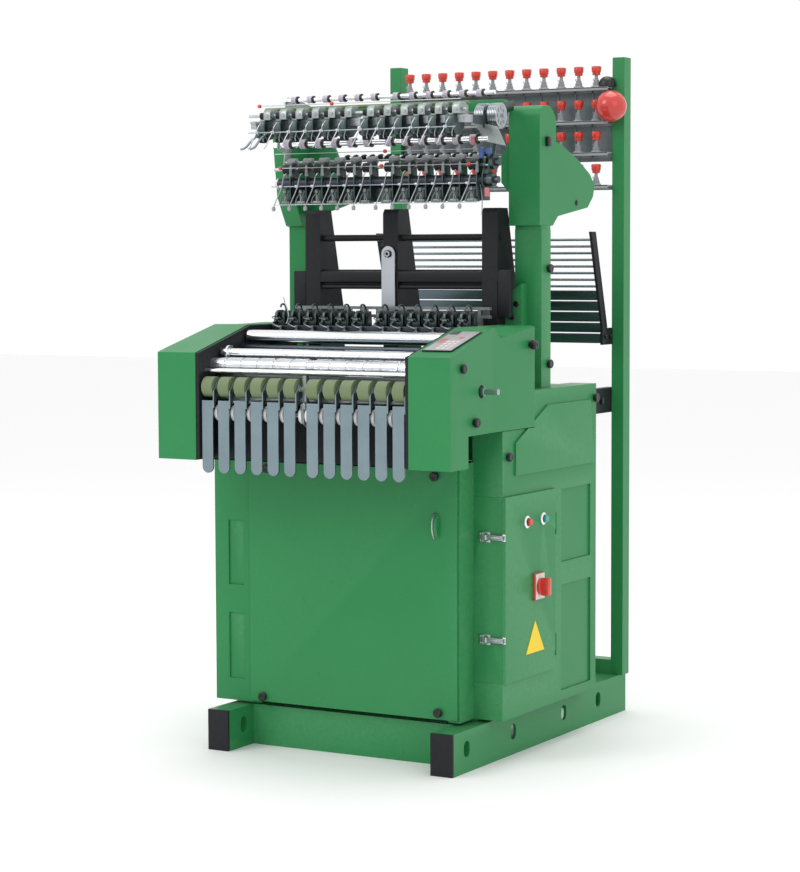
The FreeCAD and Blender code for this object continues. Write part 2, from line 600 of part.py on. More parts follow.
def roller_shaft():
    """Shaft through the rubber sleeves and the lever eyes."""
    reach = COVER_X[0] - SEAT
    return rod_x(-reach, reach, RUBBER[0], RUBBER[1], ROLLER_SHAFT_R)


def presser_lever(i):
    """Steel tongue hung from the roller shaft by a cheek."""
    x = lane_x(i)
    back = TONGUE_FRONT + TONGUE_T
    low, high = TONGUE_Z
    half = TONGUE_W / 2
    tongue = box(x - half, x + half, TONGUE_FRONT, back, low + half, high)
    tip = rod_y(TONGUE_FRONT, back, x, low + half, half)
    cheek_x = x + RUBBER_W / 2 + CHEEK_GAP
    tab = box(x, cheek_x + CHEEK_T, TONGUE_FRONT, back, high - 20, high)
    web = side_prism(cheek_x, cheek_x + CHEEK_T,
                     [(TONGUE_FRONT, high - 20), (TONGUE_FRONT, RUBBER[1] - 10),
                      (RUBBER[0] - CHEEK_R + 1, RUBBER[1] + 4),
                      (RUBBER[0], RUBBER[1]), (RUBBER[0] + 4, RUBBER[1] - CHEEK_R + 1), (back, high - 16),
                      (back, high - 20)])
    ring = rod_x(cheek_x, cheek_x + CHEEK_T, RUBBER[0], RUBBER[1], CHEEK_R)
    lever = joined([tongue, tip, tab, web, ring])
    return lever.cut(rod_x(cheek_x - 1, cheek_x + CHEEK_T + 1, RUBBER[0], RUBBER[1], ROLLER_SHAFT_R + FIT))


def guide_discs():
    """White guide discs between the levers, pressed on their rod."""
    y, z, _ = BUSH_ROD
    places = [lane_x(i) + PITCH / 2 for i in range(LANES - 1) if i != LANES // 2 - 1]
    places += [lane_x(LANES // 2 - 1) + PITCH / 2, lane_x(LANES // 2) - PITCH / 2]
    places.append(lane_x(LANES - 1) + PITCH / 2 - 9)
    discs = []
    for x in places:
        discs.append(rod_x(x - BUSH_W / 2, x + BUSH_W / 2, y, z, BUSH_R))
    return discs


def fixed_rod(y, z, r):
    """Plain rod between the end plates."""
    reach = COVER_X[0] - PLATE_T / 2
    return rod_x(-reach, reach, y, z, r)


def apron():
    """Black plate behind the levers, folded back under the bay."""
    half = COVER_X[0] - PLATE_T + 1
    upright = box(-half, half, APRON_Y, APRON_Y + 4, APRON_BOTTOM, APRON_TOP)
    floor = box(-half, half, APRON_Y, BED_FRONT - SEAT, APRON_BOTTOM, APRON_BOTTOM + 4)
    back = box(-half, half, BED_FRONT - 4 - SEAT, BED_FRONT - SEAT, APRON_BOTTOM, CASE_TOP - 20)
    return joined([upright, floor, back])


def bay_strips():
    """Two steel strips between the guide roller and the breast roller."""
    half = COVER_X[0] - PLATE_T + 1
    low = side_prism(-half, half, [(-462, 1062), (-462, 1068), (-410, 1086), (-410, 1080)])
    high = side_prism(-half, half, [(-402, 1088), (-402, 1094), (-378, 1098), (-378, 1092)])
    return [low, high]


def centre_bracket():
    """Post between the sixth and seventh levers that steadies the rods."""
    x0, x1 = -3.4, 3.4
    outline = [(APRON_Y + 1, 860), (APRON_Y + 1, APRON_TOP), (APRON_Y - SEAT, 945), (-546, 962),
               (-572, 962), (-574, 905), (-550, 890),
               (-540, 860)]
    return side_prism(x0, x1, outline)


def crank_shaft():
    """Through shaft with a reduced end on each side for a hand crank."""
    y, z, r = CRANK
    shoulder = COVER_X[1] + 2
    return rod_x(-shoulder, shoulder, y, z, r).fuse(rod_x(-SHAFT_END_X, SHAFT_END_X, y, z, CRANK_END_R))


# ---- weaving heads, batten and harness guides ---------------------------------
def head_bar():
    """Bar across the bed that carries the heads, on two legs."""
    y0, y1 = HEAD_BAR
    bar = box(-306, 306, y0, y1, HEAD_Z - 24, HEAD_Z - SEAT)
    legs = [box(s * 306, s * 290, y0, y1, BED_TOP, HEAD_Z - 20) for s in (-1, 1)]
    return joined([bar] + legs)


def weaving_heads():
    """Needle and reed block of each lane."""
    heads = []
    for i in range(LANES):
        x = lane_x(i)
        body = box(x - 20, x + 14, HEAD_Y - 22, HEAD_Y + 22, HEAD_Z, HEAD_Z + HEAD_H)
        body = body.cut(box(x - 8, x + 4, HEAD_Y - 23, HEAD_Y - 4, HEAD_Z + 14, HEAD_Z + HEAD_H + 1))
        nose = box(x - 16, x - 4, HEAD_Y - 34, HEAD_Y - 20, HEAD_Z + 4, HEAD_Z + 16)
        horn = side_prism(x + 5, x + 11, [(HEAD_Y - 10, HEAD_Z + HEAD_H - 1),
                                          (HEAD_Y - 10, HEAD_Z + HEAD_H + 12),
                                          (HEAD_Y - 20, HEAD_Z + HEAD_H + 16),
                                          (HEAD_Y - 18, HEAD_Z + HEAD_H + 8),
                                          (HEAD_Y - 16, HEAD_Z + HEAD_H - 1)])
        heads.append(joined([body, nose, horn]))
    return heads


def batten():
    """Reed holder on two swing arms, bored for its bearing pins."""
    y, z = BATTEN_PIVOT
    top = HEAD_Z + HEAD_H + 6
    pieces = [rod_x(-286, 286, y, z, BATTEN_R)]
    for s in (-1, 1):
        pieces.append(side_prism(s * 280, s * 270, [(y - 8, z - 6), (y + 8, z - 6), (y + 6, top),
                                                    (y - 6, top)]))
    pieces.append(box(-306, 306, y - 6, y + 6, top - 26, top - 18))
    pieces.append(box(-306, 306, y - 6, y + 6, top - 4, top + 4))
    for i in range(LANES):
        for k in range(7):
            wire = lane_x(i) - 12 + 4 * k
            pieces.append(box(wire - 0.6, wire + 0.6, y - 2, y + 2, top - 19, top - 3))
    bores = [rod_x(s * 287, s * 270, y, z, BATTEN_PIN_R + FIT) for s in (-1, 1)]
    return joined(pieces).cut(bores)


def batten_bearings():
    """Two bearing blocks with pins for the batten, on the bed."""
    y, z = BATTEN_PIVOT
    pieces = []
    for s in (-1, 1):
        block = box(s * 300, s * (286 + SEAT), y - 18, y + 18, BED_TOP, z + 20)
        pieces.append(joined([block, rod_x(s * 299, s * 271, y, z, BATTEN_PIN_R)]))
    return pieces


def harness_plates():
    """Three black uprights that carry the cross bars and guide the harness."""
    pieces = []
    for x in POST_PLATES_X:
        outline = [(POST_PLATE_Y, BED_TOP), (POST_PLATE_Y, 1450), (POST_PLATE_Y + 8, 1462),
                   (POST_PLATE_Y + 60, 1462),
                   (POST_PLATE_Y + 130, 1170), (POST_PLATE_Y + 130, BED_TOP)]
        inner = [(POST_PLATE_Y + 6, BED_TOP - 1), (POST_PLATE_Y + 6, 1452), (POST_PLATE_Y + 52, 1452),
                 (POST_PLATE_Y + 124, 1165), (POST_PLATE_Y + 124, BED_TOP - 1)]
        plate = side_prism(x, x + POST_PLATE_W, outline)
        hollow = side_prism(x - 1, x + POST_PLATE_W - 6, inner)
        for z in CROSS_BARS_Z:
            plate = plate.cut(rod_x(x - 1, x + POST_PLATE_W + 1, POST_PLATE_Y + 22, z, CROSS_BAR_R + FIT))
        pieces.append(plate.cut(hollow))
    return pieces


def cross_bars():
    """Three black bars through the harness plates."""
    x0 = POST_PLATES_X[0] - 4
    x1 = POST_PLATES_X[2] + POST_PLATE_W + 4
    return [rod_x(x0, x1, POST_PLATE_Y + 22, z, CROSS_BAR_R) for z in CROSS_BARS_Z]


def swing_lever():
    """Flat steel lever on the front of the middle plate."""
    x = POST_PLATES_X[1] + 20
    y = POST_PLATE_Y - 8
    half = LEVER_W / 2
    strap = box(x - half, x + half, y, y + 5, LEVER_LOW_Z, LEVER_Z)
    strap = strap.fuse([rod_y(y, y + 5, x, LEVER_Z, half), rod_y(y, y + 5, x, LEVER_LOW_Z, half)])
    return strap.cut(rod_y(y - 1, y + 6, x, LEVER_Z, LEVER_PIN_R + FIT)).removeSplitter()


def lever_pin():
    """Bolt on which the steel lever swings."""
    x = POST_PLATES_X[1] + 20
    y = POST_PLATE_Y - 8
    pin = rod_y(y - 1, POST_PLATE_Y - SEAT, x, LEVER_Z, LEVER_PIN_R)
    head = rod_y(y - 6, y - SEAT, x, LEVER_Z, 10)
    collar = rod_y(POST_PLATE_Y - 2, POST_PLATE_Y - SEAT, x, LEVER_Z, 12)
    return joined([pin, head, collar])


# ---- arms ------------------------------------------------------------------
def right_arm():
    """Hollow column from the bed to the top."""
    low = box(ARM_X[0], ARM_X[1], ARM_Y[0], ARM_Y[1], BED_TOP, 1404)
    low = low.cut(box(ARM_X[0] + 6, ARM_X[1] - 6, ARM_Y[0] + 6, ARM_Y[1] - 6, BED_TOP - 1, 1398))
    high = box(ARM_X[0] + 10, ARM_X[1] - 12, ARM_Y[0] + 6, ARM_Y[1] - 8, 1400, ARM_TOP)
    bracket = front_prism(ARM_Y[0] - 30, ARM_Y[0] + 1, [(306, 1145), (306, 1226), (356, 1260), (356, 1145)])
    bracket = bracket.cut(front_prism(ARM_Y[0] - 24, ARM_Y[0] - 1,
                                      [(300, 1140), (300, 1225), (350, 1253), (350, 1140)]))
    return joined([low, high, bracket])


def hood_outline(inset):
    """Side outline of the right arm's hood: (y, z) points, arcs in few steps."""
    front = -20.0 + inset
    points = [(front, 1414 + inset), (front, HOOD_TOP - 30)]
    for k in range(1, 5):
        turn = math.radians(22.5 * k)
        points.append((front + 30 - 30 * math.cos(turn), HOOD_TOP - 30 + (30 - inset) * math.sin(turn)))
    for k in range(0, 5):
        turn = math.radians(90 - 18 * k)
        points.append((28 + (52 - inset) * math.cos(turn), HOOD_TOP - 52 + (52 - inset) * math.sin(turn)))
    points += [(80 - inset, 1640), (115 - inset, 1632), (209, 1600 - inset), (290 - inset, 1560),
               (323 - inset, 1530),
               (312 - inset, 1496 + inset), (278, 1466 + inset), (92, 1440 + inset), (60, 1414 + inset)]
    return points


def arm_hood():
    """Cast hood over the top drive on the right arm."""
    x0, x1 = HOOD_X
    shell = side_prism(x0, x1, hood_outline(0)).cut(side_prism(x0 + SKIN, x1 - SKIN, hood_outline(SKIN)))
    shell = shell.cut(box(ARM_X[0] + 10 - SEAT, ARM_X[1] - 12 + SEAT, ARM_Y[0] + 6 - SEAT,
                          ARM_Y[1] - 8 + SEAT,
                          1400, 1440))
    gusset = front_prism(-14, -8, [(x0 + 1, 1500), (282, 1530), (282, 1600), (x0 + 1, 1640)])
    shell = shell.fuse(gusset)
    return shell


def left_arm():
    """Left column with a forward head and a web towards the middle."""
    low = box(-ARM_X[1], -ARM_X[0] - 26, ARM_Y[0], ARM_Y[1], BED_TOP, 1440)
    foot = box(-ARM_X[1], -ARM_X[0], ARM_Y[0], ARM_Y[1], BED_TOP, 1190)
    head = side_prism(-402, -346, [(-86, 1660), (-65, 1500), (-20, 1420), (ARM_Y[1], 1400), (ARM_Y[1], 1720),
                                   (-60, 1720)])
    web_line = [(-350, 1440), (-320, 1452), (-262, 1464), (-215, 1480), (-200, 1500), (-262, 1640),
                (-350, 1640)]
    web = front_prism(14, 26, web_line)
    return joined([low, foot, head, web])


def top_beam():
    """Square beam between the arms."""
    y0, y1, z0, z1 = TOP_BEAM
    x0 = -346 + SEAT
    x1 = HOOD_X[0] - SEAT
    beam = box(x0, x1, y0, y1, z0, z1)
    return beam.cut(box(x0 + 8, x1 - 8, y0 + 4, y1 - 4, z0 + 4, z1 - 4))


def feeder_plates():
    """Steel end plates that carry the feeder rails and shafts."""
    pieces = []
    for x in FEED_PLATES_X:
        x0 = x - 4 if x > 0 else x
        x1 = x0 + 4
        outline = [(TOP_BEAM[1], TOP_BEAM[3] + 3), (TOP_BEAM[0] - 10, TOP_BEAM[3] + 30), (-160, 1785),
                   (-300, 1735),
                   (-336, 1716), (-346, 1680), (-346, 1656), (-310, 1656), (-262, 1660), (-215, 1600),
                   (-236, 1560),
                   (-236, 1508), (-160, 1508), (-130, 1560),
                   (-60, 1700), (TOP_BEAM[1], TOP_BEAM[2] - 3)]
        plate = side_prism(x0, x1, outline)
        y0, y1, z0, z1 = TOP_BEAM
        plate = plate.cut(box(x0 - 1, x1 + 1, y0 - SEAT, y1 + 5, z0 - SEAT, z1 + SEAT))
        for y, z, r in (TOP_SHAFT, MID_SHAFT):
            plate = plate.cut(rod_x(x0 - 1, x1 + 1, y, z, r + FIT))
        for y, z, _ in (FEED_UP, FEED_LOW):
            plate = plate.cut(rod_x(x0 - 1, x1 + 1, y, z, FEED_SHAFT_R + FIT))
        for y, z, r in (LOWER_TUBE, WIRES_UP, WIRES_LOW):
            plate = plate.cut(rod_x(x0 - 1, x1 + 1, y, z, r + FIT))
        plate = plate.cut(rod_x(x0 - 1, x1 + 1, DISCS[0], DISCS[1], DISC_AXLE_R + FIT))
        y0, y1, z0, z1 = UPPER_RAIL
        plate = plate.cut(box(x0 - 1, x1 + 1, y0 - FIT, y1 + FIT, z0 - FIT, z1 + FIT))
        pieces.append(plate)
    return pieces


def feeder_rails():
    """Flat upper rail and round lower tube between the feeder plates."""
    x0, x1 = FEED_PLATES_X[0] - 8, FEED_PLATES_X[1] + 8
    y0, y1, z0, z1 = UPPER_RAIL
    return [box(x0, x1, y0, y1, z0, z1), rod_x(x0, x1, *LOWER_TUBE)]


def collared_shaft(y, z, r, collar_r, collar_w):
    """Shaft with one collar for each lane."""
    x0, x1 = FEED_PLATES_X[0] - 8, FEED_PLATES_X[1] + 8
    bar = rod_x(x0, x1, y, z, r)
    collars = [rod_x(lane_x(i) - collar_w / 2, lane_x(i) + collar_w / 2, y, z,
                     collar_r) for i in range(LANES)]
    return joined([bar] + collars)


def nip_rollers(axis, width):
    """Black nip rollers on their shaft, one for each lane."""
    y, z, r = axis
    x0, x1 = FEED_PLATES_X[0] - 8, FEED_PLATES_X[1] + 8
    bar = rod_x(x0, x1, y, z, FEED_SHAFT_R)
    return joined([bar] + [rod_x(lane_x(i) - width / 2, lane_x(i) + width / 2, y, z,
                                 r) for i in range(LANES)])


def upper_units():
    """Feeder housing of each lane, clamped on the upper rail."""
    y0, y1, z0, z1 = UPPER_RAIL
    pieces = []
    for i in range(LANES):
        x = lane_x(i) + 12
        yoke = side_prism(x, x + 5, [(y0 - 25, z0 - 40), (y0 - 25, z0 - 8), (y0 - 5, z1 + 28),
                                     (y1 - 5, z1 + 28),
                                     (y1 + 4, z1), (y1 + 4, z0 - 8), (y0 + 5, z0 - 44)])
        yoke = yoke.cut(box(x - 1, x + 6, y0 - SEAT, y1 + 5, z0 - SEAT, z1 + SEAT))
        yoke = yoke.cut(rod_x(x - 1, x + 6, FEED_UP[0], FEED_UP[1], FEED_SHAFT_R + 1))
        body = box(x - 22, x + 1, y0 - 22, y0 + 2, z0 - 46, z0 - 12)
        pieces.append(joined([yoke, body]))
    return pieces


def lower_units():
    """Feeder bracket of each lane, hung from the lower tube."""
    y, z, r = LOWER_TUBE
    pieces = []
    for i in range(LANES):
        x = lane_x(i) + 16
        yoke = side_prism(x, x + 5, [(y - r - 8, z - 44), (y - r - 8, z + 20), (y - 8, z + 52),
                                     (y + 8, z + 52),
                                     (y + r + 6, z + 10), (y + r + 2, z - 30), (y, z - 56)])
        yoke = yoke.cut(rod_x(x - 1, x + 6, y, z, r))
        yoke = yoke.cut(rod_x(x - 1, x + 6, FEED_LOW[0], FEED_LOW[1], FEED_SHAFT_R + 1))
        body = box(x - 24, x + 1, y - 16, y + 4, z - 52, z - 22)
        pieces.append(joined([yoke, body]))
    return pieces


def stop_wires(axis, drop):
    """Row of sensing wires on a common bar, one for each lane."""
    y, z, r = axis
    x0, x1 = FEED_PLATES_X[0] - 8, FEED_PLATES_X[1] + 8
    bar = rod_x(x0, x1, y, z, r)
    wires = []
    for i in range(LANES):
        x = lane_x(i) - 4
        tip = y - 14
        wires.append(side_prism(x - 1.5, x + 1.5, [(y + 1.5, z), (y - 1.5, z), (tip - 1.5, z - drop),
                                                   (tip + 1.5, z - drop)]))
        wires.append(rod_x(x - 4.5, x + 4.5, tip, z - drop, 4.5))
    return joined([bar] + wires)


def ribbed_pulleys():
    """Two ribbed drive discs on a stub axle in the right feeder plate."""
    y, z, r = DISCS
    pieces = [rod_x(252, FEED_PLATES_X[1] + 8, y, z, DISC_AXLE_R)]
    for x in (262.0, 290.0):
        disc = rod_x(x, x + 12, y, z, r)
        pieces.append(disc.cut(Part.makeTorus(r, 3, V(x + 6, y, z), V(1, 0, 0))))
    return joined(pieces)


# ---- creel -----------------------------------------------------------------
def rear_posts():
    """Two square tubes standing on the base."""
    x0, x1 = POST_X
    y0, y1 = POST_Y
    tube = box(x0, x1, y0, y1, BEAM_H, POST_H)
    tube = tube.cut(box(x0 + 4, x1 - 4, y0 + 4, y1 - 4, BEAM_H - 1, POST_H - 4))
    return grouped([tube, mirrored(tube)])


def tie_bars():
    """Black bars from the casing to the rear posts."""
    right = box(352, 376, CASE_REAR, POST_Y[0], 880, 952)
    right = right.cut(box(356, 377, CASE_REAR + 12, POST_Y[0] - 12, 884, 948))
    return [right, mirrored(right)]


def creel_x(k):
    """Place of tensioner k along a creel rail."""
    return (k - (LANES - 1) / 2.0) * CREEL_PITCH


def creel_rails():
    """Angle rails between the posts, one under each row."""
    half = POST_X[0] - SEAT / 2
    rails = []
    for z in CREEL_ROWS:
        top = z - CREEL_RAIL_DROP
        flat = box(-half, half, CREEL_Y - 14, CREEL_BACK, top - 4, top)
        lip = box(-half, half, CREEL_BACK - 4, CREEL_BACK, top - 26, top)
        rails.append(joined([flat, lip]))
    return rails


def creel_panel():
    """Ribbed grey panel behind the tensioners."""
    half = POST_X[0] - SEAT / 2
    z0 = CREEL_ROWS[2] - CREEL_RAIL_DROP - 26
    z1 = CREEL_ROWS[0] - CREEL_RAIL_DROP
    return box(-half, half, CREEL_BACK + SEAT, CREEL_BACK + 5, z0, z1)


def tensioner_stems():
    """Conical stems of the thread tensioners."""
    stems = []
    for z in CREEL_ROWS:
        base = z - CREEL_RAIL_DROP
        for k in range(LANES):
            x = creel_x(k)
            foot = Part.makeCylinder(15, 4, V(x, CREEL_Y, base))
            cone = Part.makeCone(11, 5, 22, V(x, CREEL_Y, base + 4))
            pin = Part.makeCylinder(5, 8, V(x, CREEL_Y, base + 26))
            stems.append(joined([foot, cone, pin]))
    return stems


def tensioner_caps():
    """Red caps on the tensioner stems."""
    caps = []
    for z in CREEL_ROWS:
        for k in range(LANES):
            base = z - CREEL_RAIL_DROP + 34
            cap = Part.makeCone(CAP_R - 3, CAP_R, CAP_H, V(creel_x(k), CREEL_Y, base))
            caps.append(cap)
    return caps


def stop_lamp():
    """Red ball lamp on a stub, on the front of the right rear post."""
    x = (POST_X[0] + POST_X[1]) / 2
    z = 1758.0
    ball = Part.makeSphere(LAMP_R, V(x, POST_Y[0] - LAMP_R - 4, z))
    stub = rod_y(POST_Y[0] - 12, POST_Y[0] - SEAT / 3, x, z, 14)
    return joined([ball, stub])


def guide_frame():
    """Two slanted black plates with arms to the rear posts."""
    ty, tz = GUIDE_TOP
    ly, lz = GUIDE_LOW
    drop = 54.0
    outline = [(ty, tz), (ty + GUIDE_W, tz), (ly + GUIDE_W, lz), (ly + GUIDE_W, lz - drop), (ly, lz - drop),
               (ly, lz)]
    arm = [(ly, lz - drop), (ly, lz - 6), (POST_Y[0], lz - 6), (POST_Y[0], lz - drop)]
    plate = side_prism(GUIDE_HALF, GUIDE_HALF + 8, outline)
    plate = joined([plate, side_prism(GUIDE_HALF, GUIDE_HALF + 8, arm)])
    return [plate, mirrored(plate)]


def guide_place(z):
    """Middle of the guide plates at a height: y."""
    ty, tz = GUIDE_TOP
    ly, lz = GUIDE_LOW
    share = min(1.0, max(0.0, (tz - z) / (tz - lz)))
    return ty + (ly - ty) * share + GUIDE_W / 2


def guide_rods():
    """Bright warp rods between the guide plates."""
    reach = GUIDE_HALF - SEAT / 2
    return [rod_x(-reach, reach, guide_place(z), z, 3) for z in [1378.0 - 19.0 * k for k in range(8)]]


def guide_slats():
    """Flat warp slats below the rods."""
    reach = GUIDE_HALF - SEAT / 2
    slats = []
    for k in range(5):
        z = 1218.0 - 31.0 * k
        y = guide_place(z)
        slats.append(side_prism(-reach, reach, [(y - 8, z + 13), (y - 5, z + 13), (y + 6, z - 13),
                                                (y + 3, z - 13)]))
    return slats


# ---- motor and main shaft ------------------------------------------------------
def motor():
    """Foot mounted motor on the shelf."""
    y, z = MOTOR
    body = rod_x(MOTOR_X[0], MOTOR_X[1], y, z, MOTOR_R)
    foot = box(MOTOR_X[0] + 30, MOTOR_X[1] - 30, y - 60, y + 60, BEAM_H + 12 + SEAT, z - 40)
    nose = rod_x(MOTOR_X[0] - 12, MOTOR_X[0] + 5, y, z, 40)
    bore = rod_x(MOTOR_X[0] - 13, MOTOR_X[0] + 40, y, z, 11 + FIT)
    return joined([body, foot, nose]).cut(bore)


def motor_shaft():
    """Motor shaft with its grooved pulley."""
    y, z = MOTOR
    x0, x1 = PULLEY_X
    shaft = rod_x(x0 - 2, MOTOR_X[0] + 39, y, z, 11)
    rim = rod_x(x0, x1, y, z, SMALL_PULLEY_R)
    return joined([shaft, grooved(rim, y, z, SMALL_PULLEY_R)])


def grooved(rim, y, z, r):
    """Pulley rim with a V groove."""
    middle = sum(PULLEY_X) / 2
    profile = Part.makePolygon([V(middle - 7, y + r + 1, z), V(middle + 7, y + r + 1, z),
                                V(middle + 3, y + r - 10, z),
                                V(middle - 3, y + r - 10, z), V(middle - 7, y + r + 1, z)])
    groove = Part.Face(profile).revolve(V(middle, y, z), V(1, 0, 0), 360)
    return rim.cut(groove)


def main_shaft():
    """Main shaft across the frame, with its pulley and two eccentrics."""
    y, z, r = MAIN
    x0, x1 = PULLEY_X
    pieces = [rod_x(x0 - 6, WALL_X + 12, y, z, r), rod_x(x0 - 4, x1 + 3, y, z, 24)]
    pieces.append(grooved(rod_x(x0, x1, y, z, BIG_PULLEY_R), y, z, BIG_PULLEY_R))
    for x in (-212.0, 200.0):
        pieces.append(rod_x(x, x + 12, y + 14, z, 42))
    return joined(pieces)


def belt_line(r_big, r_small):
    """Filled outline round both pulleys, at one radius each."""
    y1, z1, _ = MAIN
    y2, z2 = MOTOR
    gap = math.hypot(y2 - y1, z2 - z1)
    base = math.atan2(z2 - z1, y2 - y1)
    open_angle = math.acos((r_big - r_small) / gap)
    corners = []
    for centre, r in (((y1, z1), r_big), ((y2, z2), r_small)):
        for s in (1, -1):
            turn = base + s * open_angle
            corners.append((centre[0] + r * math.cos(turn), centre[1] + r * math.sin(turn)))
    return [corners[0], corners[2], corners[3], corners[1]]


def drive_belt():
    """V belt round both pulleys."""
    middle = sum(PULLEY_X) / 2
    x0, x1 = middle - 2.9, middle + 2.9
    lift = 2.0
    outer_big, outer_small = BIG_PULLEY_R + lift, SMALL_PULLEY_R + lift
    inner_big, inner_small = BIG_PULLEY_R - 9.6, SMALL_PULLEY_R - 9.6

    def loop(big, small, a, b):
        y1, z1, _ = MAIN
        return joined([side_prism(a, b, belt_line(big, small)), rod_x(a, b, y1, z1, big),
                       rod_x(a, b, MOTOR[0], MOTOR[1], small)])

    return loop(outer_big, outer_small, x0, x1).cut(loop(inner_big, inner_small, x0 - 1, x1 + 1))


# ---- screws ------------------------------------------------------------------
def knob_screws():
    """Black knob screws that hold the covers."""
    door = CASE_FRONT_L - SEAT - DOOR_T
    pieces = []
    for x, z in PANEL_KNOBS:
        pieces.append(rod_y(door - KNOB_H, door - SEAT / 2, x, z, KNOB_R))
    for s in (-1, 1):
        for y, z in COVER_KNOBS:
            side = COVER_X[1]
            span = COVER_NOTCH_Y[1] - (COVER_FRONT + 40)
            draw = min(1.0, max(0.0, (y - KNOB_R - COVER_FRONT - 40) / span)) * COVER_TAPER
            pieces.append(rod_x(s * (side - draw + SEAT), s * (side + 9), y, z, KNOB_R))
        for y, z in CASING_KNOBS:
            pieces.append(rod_x(s * (CASE_HALF + SEAT / 2), s * (CASE_HALF + KNOB_H), y, z, KNOB_R))
    for z in ARM_KNOBS_Z:
        pieces.append(rod_x(ARM_X[1] + SEAT / 2, ARM_X[1] + KNOB_H, ARM_Y[1] - 16, z, KNOB_R))
    return grouped(pieces)


def build():
    """Make every node."""
    add("base_frame", base_frame())
    add("foot_caps", foot_caps())
    add("inner_frame", inner_frame())
    add("left_side_casing", left_side_casing())
    add("right_side_casing", right_side_casing())
    add("front_panel", front_panel())
    add("cabinet_box", joined([cabinet_box()] + hinge_pins() + latch_bases()))
    add("cabinet_door", grouped([cabinet_door()] + button_collars()))
    add("stop_button", push_button(BUTTON_Y[0]))
    add("start_button", push_button(BUTTON_Y[1]))
    add("main_switch", main_switch())
    for name, z in zip(("upper_latch", "lower_latch"), LATCH_Z):
        add(name, latch(z))
    cover = end_cover()
    add("right_end_cover", cover)
    add("left_end_cover", mirrored(cover))
    plate = end_plate()
    rods = [fixed_rod(*GUIDE_ROD), fixed_rod(*BUSH_ROD)]
    steel = bay_strips() + rods + guide_discs()
    add("roller_bay", joined([plate, mirrored(plate), apron(), centre_bracket()] + steel))
    add("knob_screws", knob_screws())
    add("breast_roller", journalled(*BREAST_ROLLER))
    add("guide_roller", guide_roller())
    add("ring_roller", ring_roller())
    add("take_up_roller", take_up_roller())
    add("rubber_rollers", grouped([roller_shaft()] + rubber_sleeves()))
    for i in range(LANES):
        add("presser_lever_%02d" % (i + 1), presser_lever(i))
    add("crank_shaft", crank_shaft())
    add("main_shaft", main_shaft())
    add("motor", motor())
    add("motor_shaft", motor_shaft())
    add("drive_belt", drive_belt())
    add("weaving_heads", grouped([head_bar()] + weaving_heads() + batten_bearings()))
    add("batten", batten())
    add("harness_frame", grouped(harness_plates() + cross_bars() + [lever_pin()]))
    add("swing_lever", swing_lever())
    add("right_arm", right_arm())
    add("arm_hood", arm_hood())
    add("left_arm", left_arm())
    add("feeder_frame", grouped([top_beam()] + feeder_plates() + feeder_rails()))
    add("top_shaft", collared_shaft(*TOP_SHAFT, 10.0, 16.0))
    add("middle_shaft", collared_shaft(*MID_SHAFT, 13.0, 18.0))
    add("upper_nip_rollers", nip_rollers(FEED_UP, 14.0))
    add("lower_nip_rollers", nip_rollers(FEED_LOW, 26.0))
    add("yarn_feeders", grouped(upper_units() + lower_units()))
    add("upper_stop_wires", stop_wires(WIRES_UP, 46.0))
    add("lower_stop_wires", stop_wires(WIRES_LOW, 60.0))
    add("ribbed_pulleys", ribbed_pulleys())
    add("rear_posts", rear_posts())
    add("creel", grouped(creel_rails() + [creel_panel()] + tensioner_stems()))
    add("tensioner_caps", grouped(tensioner_caps()))
    add("stop_lamp", stop_lamp())
    add("warp_guide", grouped(tie_bars() + guide_frame() + guide_rods() + guide_slats()))


build()
os.makedirs("parts", exist_ok=True)
for name, shape in NODES.items():
    shape.exportStep("parts/%s.step" % name)
print(len(NODES), "nodes")
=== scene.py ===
"""Narrow fabric needle loom: finishes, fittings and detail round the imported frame. Metres, front to -Y."""
import json
import math

import bpy
from mathutils import Matrix, Vector


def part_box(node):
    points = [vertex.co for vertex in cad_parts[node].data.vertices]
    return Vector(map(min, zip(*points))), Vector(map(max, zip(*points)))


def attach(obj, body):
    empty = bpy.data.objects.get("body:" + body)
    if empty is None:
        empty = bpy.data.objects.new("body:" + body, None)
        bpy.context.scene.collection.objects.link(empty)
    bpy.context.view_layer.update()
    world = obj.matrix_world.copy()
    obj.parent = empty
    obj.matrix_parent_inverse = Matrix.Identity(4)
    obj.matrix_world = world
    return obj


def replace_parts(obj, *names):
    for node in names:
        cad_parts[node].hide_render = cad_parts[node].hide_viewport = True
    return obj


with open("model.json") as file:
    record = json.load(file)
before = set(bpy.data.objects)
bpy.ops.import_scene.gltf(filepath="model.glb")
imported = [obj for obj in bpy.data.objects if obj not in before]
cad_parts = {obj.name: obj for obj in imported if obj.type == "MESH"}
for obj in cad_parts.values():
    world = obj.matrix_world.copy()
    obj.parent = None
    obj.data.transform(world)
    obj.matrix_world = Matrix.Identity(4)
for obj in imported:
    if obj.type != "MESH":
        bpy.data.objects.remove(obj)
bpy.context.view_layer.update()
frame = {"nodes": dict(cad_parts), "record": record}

NODES = frame["nodes"]
BODY_OF = {node: body for body, group in frame["record"]["behaviour"]["bodies"].items() for node in group}

LANES = 12
PITCH = 0.051
CENTRE_GAP = 0.0178
LANE_X = [(i - 5.5) * PITCH + (-1 if i < 6 else 1) * CENTRE_GAP / 2 for i in range(LANES)]
LANE_STEPS = [(x, 0, 0) for x in LANE_X]
X_AXIS = Vector((1, 0, 0))
Y_AXIS = Vector((0, 1, 0))
Z_AXIS = Vector((0, 0, 1))


